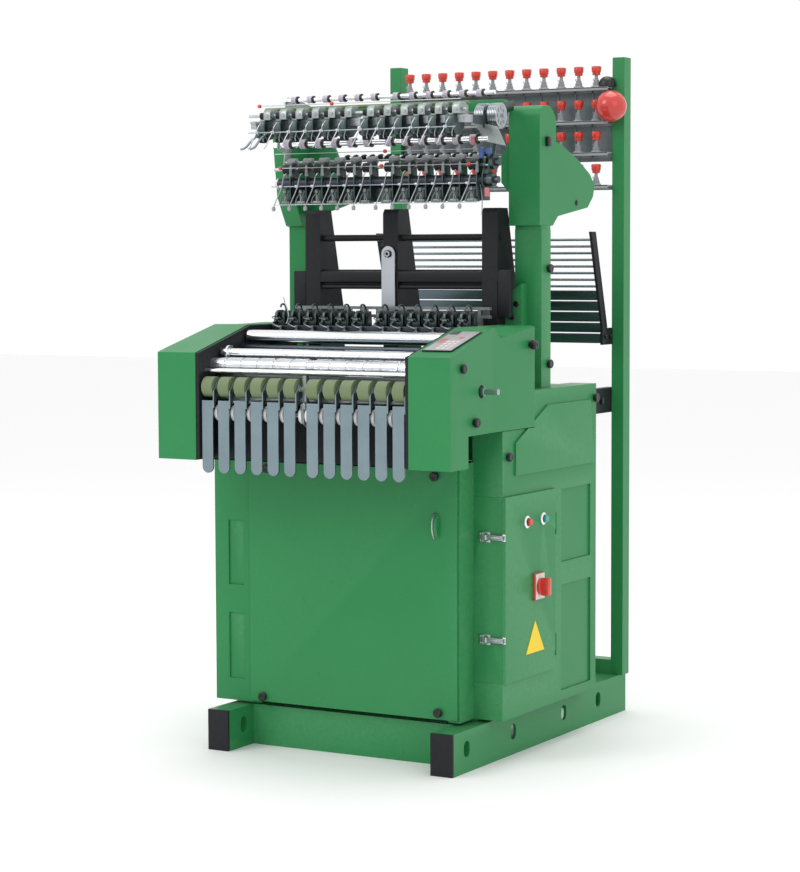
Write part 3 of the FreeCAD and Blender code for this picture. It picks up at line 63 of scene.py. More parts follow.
# ---- shared effects --------------------------------------------------------------
def effect(name, inputs, outputs):
    """Empty node group with named sockets: (name, kind, default)."""
    group = bpy.data.node_groups.new(name, "ShaderNodeTree")
    for label, kind, default in inputs:
        group.interface.new_socket(name=label, in_out="INPUT", socket_type=kind).default_value = default
    for label, kind in outputs:
        group.interface.new_socket(name=label, in_out="OUTPUT", socket_type=kind)
    return group, group.nodes.new("NodeGroupInput"), group.nodes.new("NodeGroupOutput")


def feed(tree, value, socket):
    """Link a socket, or set a plain value."""
    if hasattr(value, "node"):
        tree.links.new(value, socket)
    else:
        socket.default_value = value


def shading(tree, kind, inputs, output=0):
    """Shader node with its inputs linked or set, and one of its outputs."""
    node = tree.nodes.new("ShaderNode" + kind)
    for key, value in inputs.items():
        feed(tree, value, node.inputs[key])
    return node.outputs[output]


def noise(tree, scale, detail=3.0):
    """Noise on object coordinates; scale is a number or a socket."""
    place = shading(tree, "TexCoord", {}, "Object")
    return shading(tree, "TexNoise", {"Vector": place, "Scale": scale, "Detail": detail, "Roughness": .55})


def maths(tree, operation, *values, clamp=False):
    """One maths node on numbers or sockets."""
    result = shading(tree, "Math", dict(enumerate(values)))
    result.node.operation = operation
    result.node.use_clamp = clamp
    return result


def mixed(tree, factor, a, b):
    """Colour mix of two colours or sockets."""
    result = tree.nodes.new("ShaderNodeMix")
    result.data_type = "RGBA"
    for value, place in ((factor, 0), (a, 6), (b, 7)):
        feed(tree, value, result.inputs[place])
    return result.outputs[2]


def relief(tree, height, strength, distance):
    """Normal raised by a height mask."""
    return shading(tree, "Bump", {"Height": height, "Strength": strength, "Distance": distance})


def make_tone_drift():
    """Slow light and dark drift in a finish."""
    group, start, end = effect("Tone Drift", [("Color", "NodeSocketColor", (.5, .5, .5, 1)),
        ("Scale", "NodeSocketFloat", 6.0), ("Amount", "NodeSocketFloat", .1)],
        [("Color", "NodeSocketColor"), ("Mask", "NodeSocketFloat")])
    mask = noise(group, start.outputs["Scale"])
    shade = maths(group, "MULTIPLY_ADD", maths(group, "SUBTRACT", mask, .5), start.outputs["Amount"], 1.0)
    color = shading(group, "HueSaturation", {"Color": start.outputs["Color"], "Value": shade})
    feed(group, color, end.inputs["Color"])
    feed(group, mask, end.inputs["Mask"])
    return group


def make_edge_wear_and_highlight():
    """Mask of rubbed edges, broken up by noise; the lighter edge colour laid through it is also a painted
    highlight along the edges.
    """
    group, start, end = effect("Edge Wear And Highlight", [("Amount", "NodeSocketFloat", .5),
        ("Scale", "NodeSocketFloat", 60.0)], [("Mask", "NodeSocketFloat")])
    edges = shading(group, "NewGeometry", {}, "Pointiness")
    ramp = shading(group, "MapRange", {"Value": edges, "From Min": .52, "From Max": .62})
    spots = maths(group, "MULTIPLY", ramp, noise(group, start.outputs["Scale"]))
    feed(group, maths(group, "MULTIPLY", spots, start.outputs["Amount"], clamp=True), end.inputs["Mask"])
    return group


def make_dust():
    """Mask of patchy dust on faces that look up."""
    group, start, end = effect("Dust", [("Amount", "NodeSocketFloat", .3),
        ("Scale", "NodeSocketFloat", 25.0)], [("Mask", "NodeSocketFloat")])
    upward = shading(group, "SeparateXYZ", {0: shading(group, "NewGeometry", {}, "Normal")}, "Z")
    facing = maths(group, "POWER", maths(group, "MAXIMUM", upward, 0.0), 2.0)
    coarse = maths(group, "MULTIPLY", facing, noise(group, start.outputs["Scale"], 4.0))
    feed(group, maths(group, "MULTIPLY", coarse, start.outputs["Amount"], clamp=True), end.inputs["Mask"])
    return group


def make_grain():
    """Fine relief of a coat or a casting."""
    group, start, end = effect("Grain", [("Scale", "NodeSocketFloat", 400.0),
        ("Depth", "NodeSocketFloat", .05)], [("Normal", "NodeSocketVector"), ("Height", "NodeSocketFloat")])
    height = noise(group, start.outputs["Scale"], 2.0)
    feed(group, relief(group, height, start.outputs["Depth"], .001), end.inputs["Normal"])
    feed(group, height, end.inputs["Height"])
    return group


def make_brushing():
    """Fine parallel scratches; Stretch squeezes the noise along one direction."""
    group, start, end = effect("Brushing", [("Stretch", "NodeSocketVector", (1, 60, 60)),
        ("Scale", "NodeSocketFloat", 30.0), ("Depth", "NodeSocketFloat", .1)],
        [("Normal", "NodeSocketVector"), ("Mask", "NodeSocketFloat")])
    scaled = shading(group, "VectorMath", {0: shading(group, "TexCoord", {}, "Object"),
        1: start.outputs["Stretch"]})
    scaled.node.operation = "MULTIPLY"
    lines = shading(group, "TexNoise", {"Vector": scaled, "Scale": start.outputs["Scale"], "Detail": 3.0})
    feed(group, relief(group, lines, start.outputs["Depth"], .0005), end.inputs["Normal"])
    feed(group, lines, end.inputs["Mask"])
    return group


TONE_DRIFT = make_tone_drift()
EDGE_WEAR_AND_HIGHLIGHT = make_edge_wear_and_highlight()
DUST = make_dust()
GRAIN = make_grain()
BRUSHING = make_brushing()


# ---- finishes ----------------------------------------------------------------
def placed(tree, group, **values):
    """A shared effect put into a material with its own values."""
    node = tree.nodes.new("ShaderNodeGroup")
    node.node_tree = group
    for name, value in values.items():
        node.inputs[name].default_value = value
    return node.outputs


def new_finish(name):
    """Empty material with its node tree and the inputs of its Principled shader."""
    material = bpy.data.materials.new(name)
    material.use_nodes = True
    return material, material.node_tree, material.node_tree.nodes["Principled BSDF"].inputs


def spread(tree, mask, low, high):
    """Mask turned into a range of values."""
    return shading(tree, "MapRange", {"Value": mask, "From Min": .3, "From Max": .7, "To Min": low,
        "To Max": high})


def enamel(name, color, worn_and_highlight_colour, rough=(.26, .36), wear_and_highlight=.8, dust=.06, depth=.06, gloss=.22):
    """Sprayed machine enamel: slight orange peel, rubbed edges lightened also as a painted edge highlight,
    and a little dust.
    """
    material, tree, surface = new_finish(name)
    tone = placed(tree, TONE_DRIFT, Color=(*color, 1), Scale=5.0, Amount=.12)
    edge = placed(tree, EDGE_WEAR_AND_HIGHLIGHT, Amount=wear_and_highlight, Scale=90.0)
    dusty = placed(tree, DUST, Amount=dust, Scale=18.0)
    # Edges take the lighter edge colour: rubbed paint together with a painted highlight along the edges.
    body = mixed(tree, edge["Mask"], tone["Color"], (*worn_and_highlight_colour, 1))
    feed(tree, mixed(tree, dusty["Mask"], body, (.3, .38, .32, 1)), surface["Base Color"])
    feed(tree, spread(tree, tone["Mask"], *rough), surface["Roughness"])
    feed(tree, placed(tree, GRAIN, Scale=260.0, Depth=depth)["Normal"], surface["Normal"])
    surface["Specular IOR Level"].default_value = gloss
    return material


def metal(name, color, rough, stretch=(1, 60, 60), depth=.12, drift=.25, stained=.0, scale=30.0):
    """Machined or plated metal with brushing along one direction and dark stains."""
    material, tree, surface = new_finish(name)
    tone = placed(tree, TONE_DRIFT, Color=(*color, 1), Scale=14.0, Amount=drift)
    lines = placed(tree, BRUSHING, Stretch=stretch, Scale=scale, Depth=depth)
    blot = maths(tree, "MULTIPLY", maths(tree, "GREATER_THAN", noise(tree, 35.0, 5.0), .56), stained)
    feed(tree, mixed(tree, blot, tone["Color"], (.12, .12, .12, 1)), surface["Base Color"])
    feed(tree, spread(tree, lines["Mask"], *rough), surface["Roughness"])
    feed(tree, lines["Normal"], surface["Normal"])
    surface["Metallic"].default_value = 1.0
    return material


def moulded(name, color, rough=(.3, .42), depth=.08, scale=500.0, drift=.12, dust=.15, coat=.0):
    """Moulded plastic or rubber with a fine skin."""
    material, tree, surface = new_finish(name)
    tone = placed(tree, TONE_DRIFT, Color=(*color, 1), Scale=22.0, Amount=drift)
    dusty = placed(tree, DUST, Amount=dust, Scale=60.0)
    feed(tree, mixed(tree, dusty["Mask"], tone["Color"], (.6, .6, .58, 1)), surface["Base Color"])
    feed(tree, spread(tree, tone["Mask"], *rough), surface["Roughness"])
    feed(tree, placed(tree, GRAIN, Scale=scale, Depth=depth)["Normal"], surface["Normal"])
    surface["Specular IOR Level"].default_value = .3
    surface["Coat Weight"].default_value = coat
    return material


SWITCH_WHITE = moulded("switch_white", (.66, .6, .58), rough=(.3, .4))
PINK_FILM = moulded("pink_film", (.52, .16, .17), rough=(.35, .45), drift=.08)
# Each enamel's second colour is its lighter edge colour: rubbed paint and painted edge highlight.
GREEN = enamel("green_enamel", (.024, .212, .067), (.08, .3, .13))
CAST_GREEN = enamel("cast_green_enamel", (.024, .214, .068), (.08, .3, .13), depth=.16, rough=(.3, .42))
BLACK = enamel("black_enamel", (.009, .01, .013), (.05, .05, .055), rough=(.35, .5), wear_and_highlight=.5, dust=.05,
    gloss=.2)
PANEL_GREY = enamel("panel_grey_enamel", (.17, .215, .235), (.4, .45, .46), rough=(.35, .45))
GREY = enamel("grey_enamel", (.27, .29, .31), (.5, .5, .5), rough=(.4, .5))
STEEL = metal("bright_steel", (.44, .47, .5), (.26, .42), stretch=(60, 60, 2))
WORN_STEEL = metal("worn_steel", (.225, .295, .325), (.3, .5), stretch=(50, 50, 3), stained=.06)
CAST_STEEL = metal("cast_steel", (.25, .275, .275), (.32, .55), stretch=(4, 4, 4), depth=.3, stained=.3)
OILED_STEEL = metal("oiled_steel", (.085, .115, .115), (.28, .5), stretch=(4, 4, 4), depth=.3, stained=.3)
PALE_CAST = metal("pale_casting", (.36, .405, .395), (.35, .55), stretch=(4, 4, 4), depth=.3, stained=.15)
DARK_STEEL = metal("dark_steel", (.055, .062, .075), (.35, .55), stretch=(6, 6, 6), depth=.3)
CHROME = metal("polished_chrome", (.86, .88, .9), (.1, .2), stretch=(1, 90, 90), depth=.02, drift=.05)
RING_CHROME = metal("crinkled_chrome", (.7, .72, .75), (.1, .28), stretch=(3, 30, 30), depth=.8, drift=.35,
    scale=18.0)
SLAT_STEEL = metal("blued_steel", (.115, .145, .175), (.3, .45), stretch=(1, 80, 80), depth=.15)
OLIVE_RUBBER = moulded("olive_rubber", (.155, .205, .105), rough=(.55, .7), depth=.25, scale=700.0)
BLACK_RUBBER = moulded("black_rubber", (.014, .014, .016), rough=(.5, .65), depth=.2)
BLACK_PLASTIC = moulded("black_plastic", (.01, .01, .012), rough=(.28, .4), coat=.2)
WHITE_PLASTIC = moulded("white_plastic", (.72, .73, .74), rough=(.35, .45))
LILAC_PLASTIC = moulded("lilac_plastic", (.5, .45, .53), rough=(.35, .5))
RED_PLASTIC = moulded("red_plastic", (.6, .045, .028), rough=(.16, .26), coat=.4, dust=.08)
LAMP_RED = moulded("lamp_red", (.56, .04, .034), rough=(.08, .16), coat=.7, dust=.05)
TEAL_PLASTIC = moulded("teal_plastic", (.03, .34, .27), rough=(.15, .25), coat=.4)
YELLOW_PLATE = moulded("yellow_plate", (.86, .62, .015), rough=(.35, .45))
PANEL_FILM = moulded("panel_film", (.36, .36, .37), rough=(.35, .45), drift=.08)
BLUE_PLASTIC = moulded("blue_plastic", (.06, .12, .3), rough=(.3, .4))


# ---- hands: small modelling helpers --------------------------------------------
def clear():
    """Object mode with nothing selected."""
    if bpy.context.object and bpy.context.object.mode != "OBJECT":
        bpy.ops.object.mode_set(mode="OBJECT")
    bpy.ops.object.select_all(action="DESELECT")


def only(*objects):
    """Select these objects, the first one active."""
    clear()
    for thing in objects:
        thing.select_set(True)
    bpy.context.view_layer.objects.active = objects[0]


def settle(obj):
    """Place, turn and scale go into the mesh."""
    only(obj)
    bpy.ops.object.transform_apply(location=True, rotation=True, scale=True)
    return obj


def eased(obj, width, segments=2, angle=40, smooth=35):
    """Edges sharper than an angle broken with a small round."""
    if width:
        easing = obj.modifiers.new("eased", "BEVEL")
        easing.width = width
        easing.segments = segments
        easing.limit_method = "ANGLE"
        easing.angle_limit = math.radians(angle)
        easing.harden_normals = False
        only(obj)
        bpy.ops.object.modifier_apply(modifier=easing.name)
    only(obj)
    bpy.ops.object.shade_smooth_by_angle(angle=math.radians(smooth))
    return obj


def block(low, high, soft=.0006):
    """Squared bar or plate between two corners, edges broken."""
    low, high = Vector(low), Vector(high)
    clear()
    bpy.ops.mesh.primitive_cube_add(size=1, location=(low + high) / 2)
    obj = bpy.context.object
    obj.scale = high - low
    return eased(settle(obj), soft)


def turned(start, axis, stations, sides=24, soft=.0, smooth=35):
    """Turned piece: a disc carried along an axis through (distance, radius) stations."""
    clear()
    bpy.ops.mesh.primitive_circle_add(vertices=sides, radius=stations[0][1], fill_type="NGON")
    obj = bpy.context.object
    obj.location.z = stations[0][0]
    settle(obj)
    bpy.ops.object.mode_set(mode="EDIT")
    bpy.ops.mesh.select_all(action="SELECT")
    for (reach, radius), (reach_next, radius_next) in zip(stations, stations[1:]):
        bpy.ops.mesh.extrude_region_move(TRANSFORM_OT_translate={"value": (0, 0, reach_next - reach)})
        if radius_next != radius:
            bpy.ops.transform.resize(value=(radius_next / radius, radius_next / radius, 1))
    bpy.ops.mesh.select_all(action="SELECT")
    bpy.ops.mesh.normals_make_consistent(inside=False)
    bpy.ops.object.mode_set(mode="OBJECT")
    obj.rotation_mode = "QUATERNION"
    obj.rotation_quaternion = Vector(axis).to_track_quat("Z", "Y")
    obj.location = start
    return eased(settle(obj), soft, smooth=smooth)


def barrel(length, radius, ease, drop):
    """Stations of a plain cylinder with both ends eased."""
    return [(0, radius - drop), (ease, radius), (length - ease, radius), (length, radius - drop)]


def along_x(x0, x1, place, radius, sides=20, soft=.0005):
    """Round bar along X at a (y, z) place, its ends broken."""
    return turned((x0, *place), X_AXIS, barrel(x1 - x0, radius, soft, soft), sides)


def across(reach, place, radius, sides=20, soft=.0005):
    """Round bar that reaches as far to the left as to the right."""
    return along_x(-reach, reach, place, radius, sides, soft)


def plate(outline, axis, start, thick, soft=.0006):
    """Flat plate cut to an outline across X, Y or Z: corner points in the other two directions."""
    clear()
    bpy.ops.mesh.primitive_circle_add(vertices=len(outline), radius=1, fill_type="NGON")
    obj = bpy.context.object
    for vertex, (a, b) in zip(obj.data.vertices, outline):
        vertex.co = {"X": (start, a, b), "Y": (a, start, b), "Z": (a, b, start)}[axis]
    bpy.ops.object.mode_set(mode="EDIT")
    bpy.ops.mesh.select_all(action="SELECT")
    push = {"X": (thick, 0, 0), "Y": (0, thick, 0), "Z": (0, 0, thick)}[axis]
    bpy.ops.mesh.extrude_region_move(TRANSFORM_OT_translate={"value": push})
    bpy.ops.mesh.select_all(action="SELECT")
    bpy.ops.mesh.normals_make_consistent(inside=False)
    bpy.ops.object.mode_set(mode="OBJECT")
    return eased(obj, soft)


def wire(points, radius, sides=2):
    """Bent round wire along points."""
    clear()
    bpy.ops.curve.primitive_nurbs_path_add()
    obj = bpy.context.object
    obj.data.splines.clear()
    spline = obj.data.splines.new("NURBS")
    spline.points.add(len(points) - 1)
    for knot, point in zip(spline.points, points):
        knot.co = (*point, 1)
    spline.order_u = 3
    spline.use_endpoint_u = True
    obj.data.bevel_depth = radius
    obj.data.bevel_resolution = sides
    obj.data.resolution_u = 4
    obj.data.use_fill_caps = True
    obj.location = (0, 0, 0)
    obj.rotation_euler = (0, 0, 0)
    only(obj)
    bpy.ops.object.convert(target="MESH")
    return eased(bpy.context.object, 0)


def welded(*objects):
    """Several meshes joined into one object."""
    only(*objects)
    if len(objects) > 1:
        bpy.ops.object.join()
    return bpy.context.object


def repeated(obj, offsets):
    """Copies of a piece at each offset, each with its own mesh, joined; the piece takes the first offset."""
    made = []
    for offset in offsets[1:]:
        only(obj)
        bpy.ops.object.duplicate(linked=False)
        copy = bpy.context.object
        copy.location = Vector(offset)
        made.append(settle(copy))
    obj.location = Vector(offsets[0])
    return welded(settle(obj), *made)


def per_lane(*objects):
    """Pieces welded and copied to every lane."""
    return repeated(welded(*objects), LANE_STEPS)


def finished(pieces, name, material, body="frame"):
    """One piece, or a list of them welded, with its name, finish, material slot and body."""
    obj = welded(*pieces) if isinstance(pieces, list) else pieces
    obj.name = name
    obj.data.name = name
    obj.data.materials.clear()
    obj.data.materials.append(material)
    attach(obj, body)
    return obj


def recast(node, material, soft=.0015, segments=3, angle=35):
    """Copy of a CAD node with its edges rounded, standing for that node."""
    clear()
    NODES[node].select_set(True)
    bpy.context.view_layer.objects.active = NODES[node]
    bpy.ops.object.duplicate(linked=False)
    copy = bpy.context.object
    for key in list(copy.keys()):
        del copy[key]
    copy.parent = None
    copy.matrix_world = Matrix.Identity(4)
    bpy.ops.object.mode_set(mode="EDIT")
    bpy.ops.mesh.select_all(action="SELECT")
    bpy.ops.mesh.remove_doubles(threshold=.00002)
    bpy.ops.mesh.dissolve_limited(angle_limit=math.radians(.6))
    bpy.ops.object.mode_set(mode="OBJECT")
    eased(copy, soft, segments, angle)
    evened = copy.modifiers.new("evened", "WEIGHTED_NORMAL")
    evened.weight = 90
    evened.keep_sharp = True
    only(copy)
    bpy.ops.object.modifier_apply(modifier=evened.name)
    finished(copy, node + "_skin", material, BODY_OF[node])
    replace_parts(copy, node)
    return copy


def repainted(node, material):
    """A CAD node that stays as it is, with its finish."""
    for place in NODES[node].material_slots:
        place.material = material


# ---- camera, floor and light -----------------------------------------------------
CAMERA_AT = Vector((3.2973, -5.8084, 1.3371))
CAMERA_YAW = math.radians(29.9)
CAMERA_DIP = math.radians(4.3)
CAMERA_ROLL = math.radians(-.2)
CAMERA_LENS = 99.47


def set_camera():
    """Long lens from the front right, a little above the rollers."""
    forward = Vector((-math.sin(CAMERA_YAW) * math.cos(CAMERA_DIP),
        math.cos(CAMERA_YAW) * math.cos(CAMERA_DIP), -math.sin(CAMERA_DIP)))
    level = Vector((math.cos(CAMERA_YAW), math.sin(CAMERA_YAW), 0))
    upward = level.cross(forward)
    right = math.cos(CAMERA_ROLL) * level + math.sin(CAMERA_ROLL) * upward
    up = right.cross(forward)
    lens = bpy.data.cameras.new("camera")
    lens.sensor_fit = "VERTICAL"
    lens.sensor_height = 36.0
    lens.lens = CAMERA_LENS
    lens.clip_end = 100.0
    camera = bpy.data.objects.new("camera", lens)
    bpy.context.scene.collection.objects.link(camera)
    camera.matrix_world = Matrix.Translation(CAMERA_AT) @ Matrix((right, up, -forward)).transposed().to_4x4()
    bpy.context.scene.camera = camera


def set_floor():
    """Pale studio floor."""
    clear()
    bpy.ops.mesh.primitive_plane_add(size=40, location=(0, 0, 0))
    floor = bpy.context.object
    floor.name = "floor"
    material, tree, surface = new_finish("floor_paint")
    tone = placed(tree, TONE_DRIFT, Color=(.95, .95, .95, 1), Scale=.8, Amount=.01)
    feed(tree, tone["Color"], surface["Base Color"])
    surface["Roughness"].default_value = .7
    floor.data.materials.append(material)


def set_lights():
    """Soft studio light: a key from the front left, a fill from the right and a top light."""
    world = bpy.data.worlds.new("studio")
    world.use_nodes = True
    world.node_tree.nodes["Background"].inputs["Color"].default_value = (1, 1, 1, 1)
    world.node_tree.nodes["Background"].inputs["Strength"].default_value = 1.0
    bpy.context.scene.world = world
    for name, place, size, power in (("key", (-2.4, -4.2, 4.4), 2.6, 70), ("fill", (4.6, -2.6, 3.2), 3.0, 22),
            ("top", (0.2, 0.6, 5.2), 3.0, 60)):
        area = bpy.data.lights.new(name, "AREA")
        area.size = size
        area.energy = power
        light = bpy.data.objects.new(name, area)
        bpy.context.scene.collection.objects.link(light)
        light.location = place
        light.rotation_euler = (Vector((0, 0, .95)) - Vector(place)).to_track_quat("-Z", "Y").to_euler()
    bpy.context.scene.view_settings.view_transform = "Standard"


set_camera()
set_floor()
set_lights()

# ---- castings, sheets and rollers kept from the frame -----------------------------
for node in ("base_frame", "left_side_casing", "right_side_casing", "front_panel", "cabinet_box", "right_arm",
        "left_arm", "rear_posts"):
    recast(node, GREEN)
recast("cabinet_door", GREEN, .0012)
recast("right_end_cover", CAST_GREEN, .004, 4, 50)
recast("left_end_cover", CAST_GREEN, .004, 4, 50)
recast("arm_hood", CAST_GREEN, .006, 4, 50)
for node in ("foot_caps", "harness_frame", "motor"):
    recast(node, BLACK, .0008, 2)
repainted("inner_frame", GREEN)
repainted("batten", CAST_STEEL)
for node in ("swing_lever", "crank_shaft", "main_shaft", "motor_shaft", "take_up_roller"):
    recast(node, STEEL, .0006, 2)
for node in ("breast_roller", "guide_roller"):
    recast(node, CHROME, .0008, 2)
recast("ring_roller", RING_CHROME, .001, 2)
recast("rubber_rollers", OLIVE_RUBBER, .001, 2)
repainted("drive_belt", BLACK_RUBBER)

# ---- yarn feeders on the two rails --------------------------------------------------
RAIL_REACH = .334
BAR_REACH = .314
WIRE_REACH = .318
UPPER_ROLLER = (-.307, 1.712)
LOWER_ROLLER = (-.182, 1.572)
TUBE = (-.182, 1.533)
UPPER_WIRE_BAR = (-.336, 1.666)
LOWER_WIRE_BAR = (-.224, 1.524)
PRESS_BAR = (-.158, 1.592)
DISC_AXLE = (-.147, 1.701)
SPRING_SHAFT = (-.128, 1.6)
SPRING_START = -.138
SPRING_STEP = .0262
TOP_SHAFT = (-.147, 1.763)
MIDDLE_SHAFT = (-.182, 1.64)


def feeder_carriers():
    """Beam between the arms, end brackets, flat upper rail and round lower tube."""
    beam = block((-.3455, -.06, 1.72), (.3075, -.02, 1.75), .0015)
    finished(beam, "feeder_beam", GREEN)
    right = plate([(-.02, 1.722), (-.02, 1.748), (-.1, 1.738), (-.2, 1.7), (-.3, 1.698), (-.3, 1.68),
        (-.2, 1.676), (-.15, 1.64), (-.2, 1.548), (-.2, 1.516), (-.16, 1.516), (-.12, 1.64), (-.1, 1.705)],
        "X", .3215, .003, .0008)
    finished(right, "feeder_inner_plate", OILED_STEEL)
    gusset = plate([(.285, 1.688), (.361, 1.671), (.386, 1.62), (.331, 1.632)], "Y", -.187, .003, .0006)
    left = plate([(-.02, 1.753), (-.06, 1.762), (-.14, 1.772), (-.156, 1.755), (-.15, 1.735), (-.11, 1.715),
        (-.15, 1.655), (-.196, 1.65), (-.196, 1.628), (-.16, 1.618), (-.165, 1.548), (-.196, 1.545),
        (-.196, 1.52), (-.15, 1.52), (-.128, 1.62), (-.06, 1.715)], "X", -.318, .004, .0008)
    arm = plate([(-.3, 1.68), (-.306, 1.697), (-.27, 1.7), (-.1, 1.735), (-.09, 1.715)], "X", -.318, .004,
        .0008)
    bolts = [turned((.3243, y, z), X_AXIS, [(0, .006), (.001, .006), (.001, .005), (.005, .005),
        (.006, .004)], 6) for y, z in ((-.29, 1.689), (-.14, 1.64), (-.182, 1.5345))]
    finished([left, arm, gusset, *bolts], "feeder_end_plates", PALE_CAST)
    rail = block((-RAIL_REACH, -.3, 1.678), (RAIL_REACH, -.27, 1.698), .0008)
    lip = block((-RAIL_REACH, -.303, 1.692), (RAIL_REACH, -.3, 1.699), .0006)
    finished([rail, lip], "upper_feeder_rail", STEEL)
    tube = along_x(-.318, RAIL_REACH, TUBE, .015, 32, .001)
    finished(tube, "lower_feeder_tube", DARK_STEEL)
    gear = turned((.336, -.17, 1.58), X_AXIS, [(0, .018), (.001, .0205), (.012, .0205), (.013, .011),
        (.024, .011)], 24)
    end = turned((.334, *TUBE), X_AXIS, [(0, .017), (.001, .0185), (.016, .0185), (.017, .009), (.03, .009)],
        24)
    skirt = block((-.3, -.1785, 1.479), (.334, -.1755, 1.52), .0008)
    finished([gear, end, skirt], "lower_feeder_ends", OILED_STEEL)
    dome = turned((-.318, *TUBE), -X_AXIS, [(0, .0152), (.004, .0152), (.009, .012), (.0115, .007),
        (.0125, .002)], 24)
    finished(dome, "tube_end_cap", WHITE_PLASTIC)
    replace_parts(beam, "feeder_frame")


def upper_feeders():
    """Housing, drum and eyelets of each lane on the upper rail."""
    housing = plate([(-.322, 1.7), (-.322, 1.72), (-.316, 1.729), (-.29, 1.731), (-.272, 1.722),
        (-.27, 1.699)], "X", .0105, .022, .0012)
    cheek = plate([(-.326, 1.662), (-.326, 1.692), (-.318, 1.7005), (-.268, 1.7005), (-.262, 1.69),
        (-.264, 1.668), (-.285, 1.65), (-.31, 1.646)], "X", .0125, .004, .0008)
    screw = turned((.022, -.322, 1.712), -Y_AXIS, [(0, .0045), (.002, .0045), (.0025, .0038)], 12)
    ear = turned((.0325, -.307, 1.712), X_AXIS, [(0, .006), (.003, .006), (.0035, .0045)], 16)
    clamp = block((-.012, -.306, 1.697), (.009, -.264, 1.7035), .0008)
    finger = wire([(.0185, -.324, 1.668), (.0185, -.333, 1.66), (.0165, -.335, 1.648), (.0165, -.331, 1.642)],
        .0013)
    eyelet = turned((.004, -.326, 1.65), Z_AXIS, [(0, .0055), (.003, .0052), (.009, .0022), (.01, .0012)], 12)
    dark = welded(cheek, eyelet, block((-.0115, -.3205, 1.652), (.0125, -.3, 1.6955), .003))
    finished(per_lane(dark), "upper_feeder_cheeks", OILED_STEEL)
    bright = welded(housing, screw, ear, clamp, finger)
    bright = finished(per_lane(bright), "upper_feeder_housings", PALE_CAST)
    drum = turned((-.0205, -.302, 1.664), X_AXIS, [(0, .01), (.001, .0115), (.006, .0115), (.007, .0145),
        (.026, .0145), (.027, .0115), (.031, .0115), (.032, .01)], 24)
    foot = block((-.014, -.305, 1.64), (.004, -.288, 1.654), .0012)
    finished(per_lane(drum, foot), "upper_feeder_drums", BLACK)
    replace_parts(bright, "yarn_feeders")


def lower_feeders():
    """Bracket, pressing roller and thread guides of each lane on the lower tube."""
    bracket = plate([(-.2035, 1.489), (-.205, 1.545), (-.1985, 1.568), (-.196, 1.584), (-.188, 1.59),
        (-.174, 1.59), (-.1625, 1.575), (-.16, 1.545), (-.168, 1.503), (-.182, 1.478)], "X", .017, .004,
        .0008)
    collar = turned((.0135, *TUBE), X_AXIS, barrel(.0108, .0175, .0008, .001), 28)
    clip = plate([(.015, 1.552), (.016, 1.578), (.0195, 1.583), (.0235, 1.578), (.0245, 1.552)], "Y", -.203,
        .004, .0006)
    post = turned((.004, -.206, 1.478), Z_AXIS, [(0, .0045), (.004, .0045), (.005, .003), (.026, .003),
        (.028, .0055), (.033, .006), (.037, .0045), (.038, .002)], 14)
    leg_a = wire([(.004, -.207, 1.506), (-.004, -.213, 1.496), (-.008, -.214, 1.482), (-.008, -.21, 1.474)],
        .0014)
    leg_b = wire([(.004, -.207, 1.506), (.011, -.213, 1.496), (.015, -.214, 1.482), (.015, -.21, 1.474)],
        .0014)
    shoe = block((-.012, -.212, 1.476), (.0195, -.186, 1.484), .001)
    back = block((-.008, -.192, 1.48), (.019, -.18, 1.512), .001)
    finished(per_lane(bracket, collar, back), "lower_feeder_brackets", OILED_STEEL)
    finished(per_lane(clip, post, leg_a, leg_b, shoe), "lower_thread_guides", CAST_STEEL)
    press = turned((-.0135, *PRESS_BAR), X_AXIS, barrel(.0275, .011, .001, .002), 24)
    finished(per_lane(press), "pressing_rollers", GREY)
    rail = across(BAR_REACH, PRESS_BAR, .003, 12)
    finished(rail, "pressing_rail", STEEL)


def nip_roller(name, node, place, radius, width, hub):
    """Row of black nip rollers, each with grooves, on a bright shaft."""
    half = width / 2
    tyre = turned((-half, *place), X_AXIS, [(0, radius - .0015), (.001, radius), (half - .001, radius),
        (half - .0005, radius - .0007), (half + .0005, radius - .0007), (half + .001, radius),
        (width - .001, radius), (width, radius - .0015)], 28)
    tyres = finished(per_lane(tyre), name, BLACK_RUBBER, node)
    side = turned((half, *place), X_AXIS, [(0, hub), (.0015, hub), (.002, hub - .001)], 20)
    shaft = across(RAIL_REACH, place, .004, 16)
    finished([shaft, per_lane(side)], name + "_shaft", STEEL, node)
    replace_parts(tyres, node)


def collared(name, node, place, radius, collar_radius, width):
    """Bright shaft with a pale collar for each lane, each held by a dark clip."""
    shaft = across(RAIL_REACH, place, radius, 20)
    finished(shaft, name + "_bar", CHROME, node)
    half = width / 2
    collar = turned((-half, *place), X_AXIS, [(0, collar_radius - .001), (.001, collar_radius),
        (half - .002, collar_radius), (half - .001, collar_radius - .0012),
        (half + .001, collar_radius - .0012), (half + .002, collar_radius), (width - .001, collar_radius),
        (width, collar_radius - .001)], 24)
    collars = finished(per_lane(collar), name + "_collars", LILAC_PLASTIC, node)
    clip = turned((half + .001, *place), X_AXIS, [(0, collar_radius - .002), (.0005, collar_radius + .0005),
        (.0035, collar_radius + .0005), (.004, collar_radius - .002)], 20)
    finished(per_lane(clip), name + "_clips", BLACK_PLASTIC, node)
    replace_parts(collars, node)


